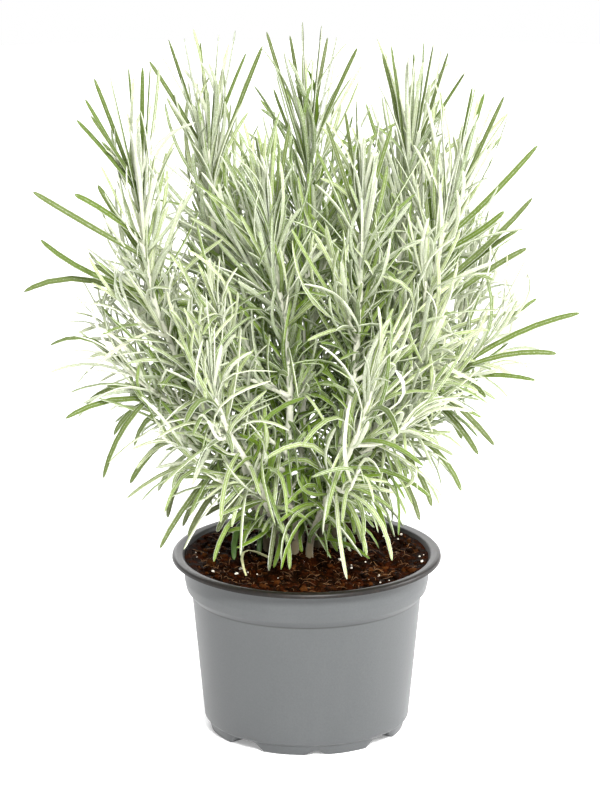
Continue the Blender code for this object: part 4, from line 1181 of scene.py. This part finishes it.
def make_leafy_stem(node, axes, leaves, materials, random):
    """One leafy stem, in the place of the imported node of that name."""
    shape = Shape()
    for axis in axes:
        add_stem_tube(shape, axis, random)
    for leaf in leaves:
        lowness = np.interp(leaf.root[2], LEAF_LOW_HEIGHTS, (1.0, 0.0))
        reach = np.interp(leaf.root[2], *LEAF_REACHES)
        # leaves near the plant's middle are painted greener and darker, partly as older growth and
        # partly as painted shade
        innerness = 1 - min(math.hypot(*leaf.knee[:2]) / reach, 1.0)
        looks = np.dot(AGE_WEIGHTS, (leaf.age, lowness, innerness))
        age = np.clip(looks + random.normal(0, AGE_SPREAD), 0.0, 1.0)
        tone = random.uniform()
        roll = random.normal(0.0, ROLL)
        # the leaves that stand out of the bush get painted shade: more age and tone, which darken
        # them to olive grey and deeper green
        if leaf.shows_face:
            age = OUTLINE_SHADE_AGE + age / 2
            tone = OUTLINE_SHADE_TONE + (1 - OUTLINE_SHADE_TONE) * tone
            roll = math.copysign(random.uniform(*FACE_ROLL), leaf.side[1])
        shape.add(blade_points(leaf, roll, random.uniform(-TWIST, TWIST)), BLADE_FACES,
                  age=age, tone=tone, wool=WOOL * (OUTLINE_WOOL if leaf.shows_face else 1.0))
    shape.piece("leafy_" + node, materials, "foliage", node)


def foot_lift(x, y):
    """The share of the foot's height that is pressed up in this direction from the axis."""
    pitch = 2 * math.pi / NOTCH_COUNT
    turn = (math.atan2(y, x) - FIRST_NOTCH + pitch / 2) % pitch - pitch / 2
    return np.interp(abs(math.degrees(turn)), NOTCH_ANGLES, NOTCH_SHARES)


def rounded(profile):
    """A profile with its corners rounded and its long runs divided into rows."""
    knots = np.array(profile, float)
    line = [knots[0]]
    for before, corner, after in zip(knots, knots[1:], knots[2:]):
        back, ahead = before - corner, after - corner
        start = corner + back * min(CORNER_RADIUS / np.linalg.norm(back), CORNER_SHARE)
        end = corner + ahead * min(CORNER_RADIUS / np.linalg.norm(ahead), CORNER_SHARE)
        rows = max(round(np.linalg.norm(start - line[-1]) / ROW_STEP), 1)
        line += [line[-1] + (start - line[-1]) * row / rows for row in range(1, rows + 1)]
        for share in np.arange(1, CORNER_STEPS + 1) / CORNER_STEPS:
            line.append(start * (1 - share) ** 2 + corner * 2 * share * (1 - share)
                        + end * share ** 2)
    rows = max(round(np.linalg.norm(knots[-1] - line[-1]) / ROW_STEP), 1)
    line += [line[-1] + (knots[-1] - line[-1]) * row / rows for row in range(1, rows + 1)]
    return np.array(line)


def apply_modifiers(piece):
    graph = bpy.context.evaluated_depsgraph_get()
    piece.data = bpy.data.meshes.new_from_object(piece.evaluated_get(graph))
    piece.modifiers.clear()


def make_pot():
    """The pot: a turned sheet with rounded corners, a notched foot and drain holes."""
    sheet = bmesh.new()
    rows = []
    for radius, height in rounded(RIM + WALL + FOOT)[:-1]:
        row = []
        for count in range(POT_SEGMENTS):
            angle = FIRST_NOTCH + 2 * math.pi * count / POT_SEGMENTS
            x, y, z = radius * math.cos(angle), radius * math.sin(angle), height
            if z < NOTCH_TOP and radius > FOOT[2][0] - CORNER_RADIUS:
                z += foot_lift(x, y) * (NOTCH_TOP - z)
            row.append(sheet.verts.new(to_metres((x, y, z))))
        rows.append(row)
    centre = sheet.verts.new(to_metres((0.0, 0.0, FLOOR_HEIGHT)))
    for count in range(POT_SEGMENTS):
        after = (count + 1) % POT_SEGMENTS
        for upper, lower in zip(rows, rows[1:]):
            sheet.faces.new((upper[count], lower[count], lower[after], upper[after]))
        sheet.faces.new((rows[-1][count], centre, rows[-1][after]))
    mesh = mesh_of(sheet, "nursery_pot")
    mesh.materials.append(grey_plastic())
    mesh.materials.append(black_plastic())
    pot = finish_piece("nursery_pot", mesh, "pot")
    solid = pot.modifiers.new("sheet", "SOLIDIFY")
    solid.thickness = SHEET / 1000
    solid.offset = 0.0
    solid.use_even_offset = True
    solid.material_offset = 1
    solid.material_offset_rim = 1
    drains = bmesh.new()
    for count in range(NOTCH_COUNT):
        angle = FIRST_NOTCH + 2 * math.pi * count / NOTCH_COUNT
        spot = to_metres((DRAIN_DISTANCE * math.cos(angle), DRAIN_DISTANCE * math.sin(angle),
                          FLOOR_HEIGHT))
        bmesh.ops.create_cone(drains, cap_ends=True, segments=DRAIN_SIDES,
                              radius1=DRAIN_RADIUS / 1000, radius2=DRAIN_RADIUS / 1000,
                              depth=DRAIN_CUT / 1000, matrix=Matrix.Translation(spot))
    cutter = add_object("drain cutters", mesh_of(drains, "drain cutters"))
    holes = pot.modifiers.new("drain holes", "BOOLEAN")
    holes.operation = "DIFFERENCE"
    holes.object = cutter
    apply_modifiers(pot)
    bpy.data.objects.remove(cutter)
    pot.data.shade_smooth()
    pot.data.set_sharp_from_angle(angle=SHARP_ANGLE)


def compost_height(x, y):
    """The compost's surface: a low mound round the crown, with gentle lumps inside the edge."""
    mound = MOUND_HEIGHT * math.exp(-((x - CROWN[0]) ** 2 + (y - CROWN[1]) ** 2)
                                    / MOUND_SPREAD ** 2)
    lumps = sum(height * math.sin(x / length_x + phase_x) * math.sin(y / length_y + phase_y)
                for height, length_x, phase_x, length_y, phase_y in LUMPS)
    inside = np.interp(math.hypot(x, y), LUMPS_FADE, (1.0, 0.0))
    fine = sum(height * noise.noise(Vector((x / size, y / size, size)))
               for height, size in RELIEF)
    bank = EDGE_BANK * np.interp(math.hypot(x, y), BANK_RADII, (0.0, 1.0))
    fine_share = EDGE_RELIEF + (1 - EDGE_RELIEF) * inside
    return COMPOST_EDGE + mound + bank + lumps * inside + fine * fine_share


def wall_radius(height):
    """The radius of the middle of the pot's wall at a height."""
    radii, heights = zip(*reversed(WALL))
    return np.interp(height, heights, radii)


def make_compost(peat):
    """The compost: its crumbly surface, and the body that fills the pot under it."""
    radii = list(np.arange(COMPOST_STEP, TOP_EDGE, COMPOST_STEP)) + [TOP_EDGE]
    turns = np.arange(COMPOST_SEGMENTS) * 2 * math.pi / COMPOST_SEGMENTS
    rings = []
    for radius in radii:
        rings += [(radius * math.cos(turn), radius * math.sin(turn),
                   compost_height(radius * math.cos(turn), radius * math.sin(turn)))
                  for turn in turns]
    heights = [height for _, height in WALL if COMPOST_FLOOR < height < COMPOST_EDGE]
    lower = [(wall_radius(height) - COMPOST_CLEARANCE, height) for height in heights]
    for radius, height in [UNDER_EDGE] + lower + [(COMPOST_FLOOR_RADIUS, COMPOST_FLOOR)]:
        rings += [(radius * math.cos(turn), radius * math.sin(turn), height) for turn in turns]
    points = np.array(rings)
    faces = ring_faces(len(points) // COMPOST_SEGMENTS, COMPOST_SEGMENTS)
    tone = [(1 + noise.noise(Vector(point) / PEAT_PATCH)) / 2 for point in points]
    shape = Shape()
    shape.add(points, faces, tone=np.multiply(tone, PEAT_TONE))
    shape.piece("compost_body", [peat], "compost", "compost")


def lump_template():
    """The points and faces of a ball of triangles with a radius of 1."""
    ball = bmesh.new()
    bmesh.ops.create_icosphere(ball, subdivisions=LUMP_DETAIL, radius=1.0)
    points = np.array([vertex.co for vertex in ball.verts])
    faces = [[vertex.index for vertex in face.verts] for face in ball.faces]
    ball.free()
    return points, faces


def random_spot(random, most_radius):
    """A place on the compost, even over its surface."""
    turn = random.uniform(0.0, 2 * math.pi)
    radius = most_radius * math.sqrt(random.uniform())
    return radius * math.cos(turn), radius * math.sin(turn)


def add_lumps(shape, random, count, sizes, flatness, roughness):
    """Irregular lumps strewn over the compost and half sunk in it."""
    points, faces = lump_template()
    for _ in range(count):
        size = sizes[0] + (sizes[1] - sizes[0]) * random.uniform() ** LUMP_SMALLNESS
        x, y = random_spot(random, TOP_EDGE - LUMP_MARGIN - size / 2)
        seed = Vector(random.uniform(-99.0, 99.0, 3))
        bumps = np.array([noise.noise(Vector(point) * LUMP_BUMPS + seed) for point in points])
        stretch = random.uniform(*LUMP_STRETCH, 3) * (1.0, 1.0, flatness)
        lump = points * (1 + roughness * bumps)[:, None] * stretch * size / 2
        turn = Matrix.Rotation(random.uniform(0.0, 2 * math.pi), 3, "Z")
        tilt = Matrix.Rotation(random.uniform(-LUMP_TILT, LUMP_TILT), 3, "X")
        lump = lump @ np.array(turn @ tilt).T
        centre = (x, y, compost_height(x, y) + size * LUMP_LIFT)
        shape.add(lump + centre, faces, tone=random.uniform())


def add_fibres(shape, random, count):
    """Thin threads that wander over the compost's surface."""
    for _ in range(count):
        x, y = random_spot(random, FIBRE_START)
        heading = random.uniform(0.0, 2 * math.pi)
        bend = random.normal(0.0, FIBRE_BEND)
        step = random.uniform(*FIBRE_STEPS)
        arch = random.uniform(0.0, FIBRE_ARCH)
        line = []
        for share in np.linspace(0.0, 1.0, FIBRE_POINTS):
            if math.hypot(x, y) < FIBRE_END:
                lift = FIBRE_LIFT + arch * math.sin(math.pi * share)
                line.append((x, y, compost_height(x, y) + lift))
            x += step * math.cos(heading)
            y += step * math.sin(heading)
            heading += bend + random.normal(0.0, FIBRE_BEND)
        if len(line) >= FIBRE_LEAST_POINTS:
            shares = np.linspace(0, 1, len(line))
            radii = random.uniform(*FIBRE_RADII) * np.interp(shares, *FIBRE_TAPER)
            shape.add(tube_points(np.array(line), radii, FIBRE_SIDES),
                      ring_faces(len(line), FIBRE_SIDES), tone=random.uniform())


def loose_leaf(root, knee, tip, width):
    """A leaf that has no stem, with its upper face up."""
    above = (root[0], root[1], root[2] + 2 * AHEAD_SPAN)
    upright = Axis(Stem("", (root, above), 1.0, 1.0, 1.0), "shoot")
    return Leaf(upright, 0.0, np.array(knee, float), np.array(tip, float), width)


def make_litter(peat, wool_leaf):
    """What lies on the compost: crumbs, fibres, perlite, and fallen and withered leaves."""
    random = np.random.default_rng(COMPOST_SEED)
    crumbs = Shape()
    add_lumps(crumbs, random, *CRUMBS)
    crumbs.piece("peat_crumbs", [peat], "compost")
    fibres = Shape()
    add_fibres(fibres, random, FIBRES)
    fibres.piece("peat_fibres", [peat_fibre()], "compost")
    grains = Shape()
    add_lumps(grains, random, *PERLITE_GRAINS)
    grains.piece("perlite_grains", [perlite()], "compost")
    # A withered leaf is dull and straw-coloured; an old one's bare skin is waxy and deep green
    dried = bare_leaf("dried_leaf", 0.7, DRY_BLOTCH, "#A9A86A", "#D9D9B0")
    old_green = bare_leaf("bare_old_leaf", 0.42, GREEN_BLOTCH, "#2F4A1E", "#5E7F35")
    for name, material, rows in (("fallen_leaves", wool_leaf, FALLEN_LEAVES),
                                 ("withered_leaf", dried, WITHERED_LEAVES),
                                 ("old_green_leaves", old_green, OLD_GREEN_LEAVES)):
        shape = Shape()
        for row in rows:
            points = blade_points(loose_leaf(*row), 0.0, TWIST / 2)
            shape.add(points, BLADE_FACES, wool=WOOL, **LOOSE_LOOKS)
        shape.piece(name, [material], "foliage")


def make_plant(leaf_material, stem_material):
    axes, leaves = grow_all()
    random = np.random.default_rng(LOOKS_SEED)
    for stem in STEMS:
        make_leafy_stem(stem.node, [axis for axis in axes if axis.node == stem.node],
                        [leaf for leaf in leaves if leaf.node == stem.node],
                        [leaf_material, stem_material], random)


def make_camera():
    camera = bpy.data.cameras.new("camera")
    camera.sensor_fit = "VERTICAL"
    camera.sensor_height = SENSOR
    camera.lens = LENS
    camera.clip_end = VIEW_DEPTH
    holder = add_object("camera", camera)
    holder.location = to_metres(CAMERA_PLACE)
    holder.rotation_euler = (math.pi / 2 - CAMERA_PITCH, 0.0, 0.0)
    bpy.context.scene.camera = holder


def make_softbox(name, place, size, power):
    """A large square light that looks at the middle of the plant."""
    light = bpy.data.lights.new(name, "AREA")
    light.shape = "SQUARE"
    light.size = size
    light.energy = power
    holder = add_object(name, light)
    holder.location = place
    holder.rotation_euler = (LIT_PLACE - Vector(place)).to_track_quat("-Z", "Y").to_euler()


def make_studio():
    """A round light table for a floor, white surroundings and softboxes."""
    sheet = bmesh.new()
    bmesh.ops.create_circle(sheet, cap_ends=True, segments=FLOOR_SEGMENTS,
                            radius=FLOOR_RADIUS)
    mesh = mesh_of(sheet, "floor")
    mesh.materials.append(light_table())
    add_object("floor", mesh)
    world = bpy.data.worlds.new("white surroundings")
    world.use_nodes = True
    tree = world.node_tree
    direction = add_node(tree, "TexCoord", {}, "Generated")
    height = add_node(tree, "SeparateXYZ", {"Vector": direction}, "Z")
    fade = add_node(tree, "MapRange", {
        "Value": height, "From Min": 0.1, "From Max": 0.5, "To Min": 1.0,
        "To Max": SURROUND_STRENGTH})
    background = tree.nodes["Background"]
    background.inputs["Color"].default_value = linear("#FFFFFF")
    tree.links.new(fade, background.inputs["Strength"])
    bpy.context.scene.world = world
    for name, (place, size, power) in SOFTBOXES.items():
        make_softbox(name, place, size, power)
    bpy.context.scene.view_settings.view_transform = "Standard"


make_camera()
make_studio()
make_pot()
peat_material = moist_peat()
leaf_material = woolly_leaf()
make_compost(peat_material)
make_litter(peat_material, leaf_material)
make_plant(leaf_material, woolly_stem())
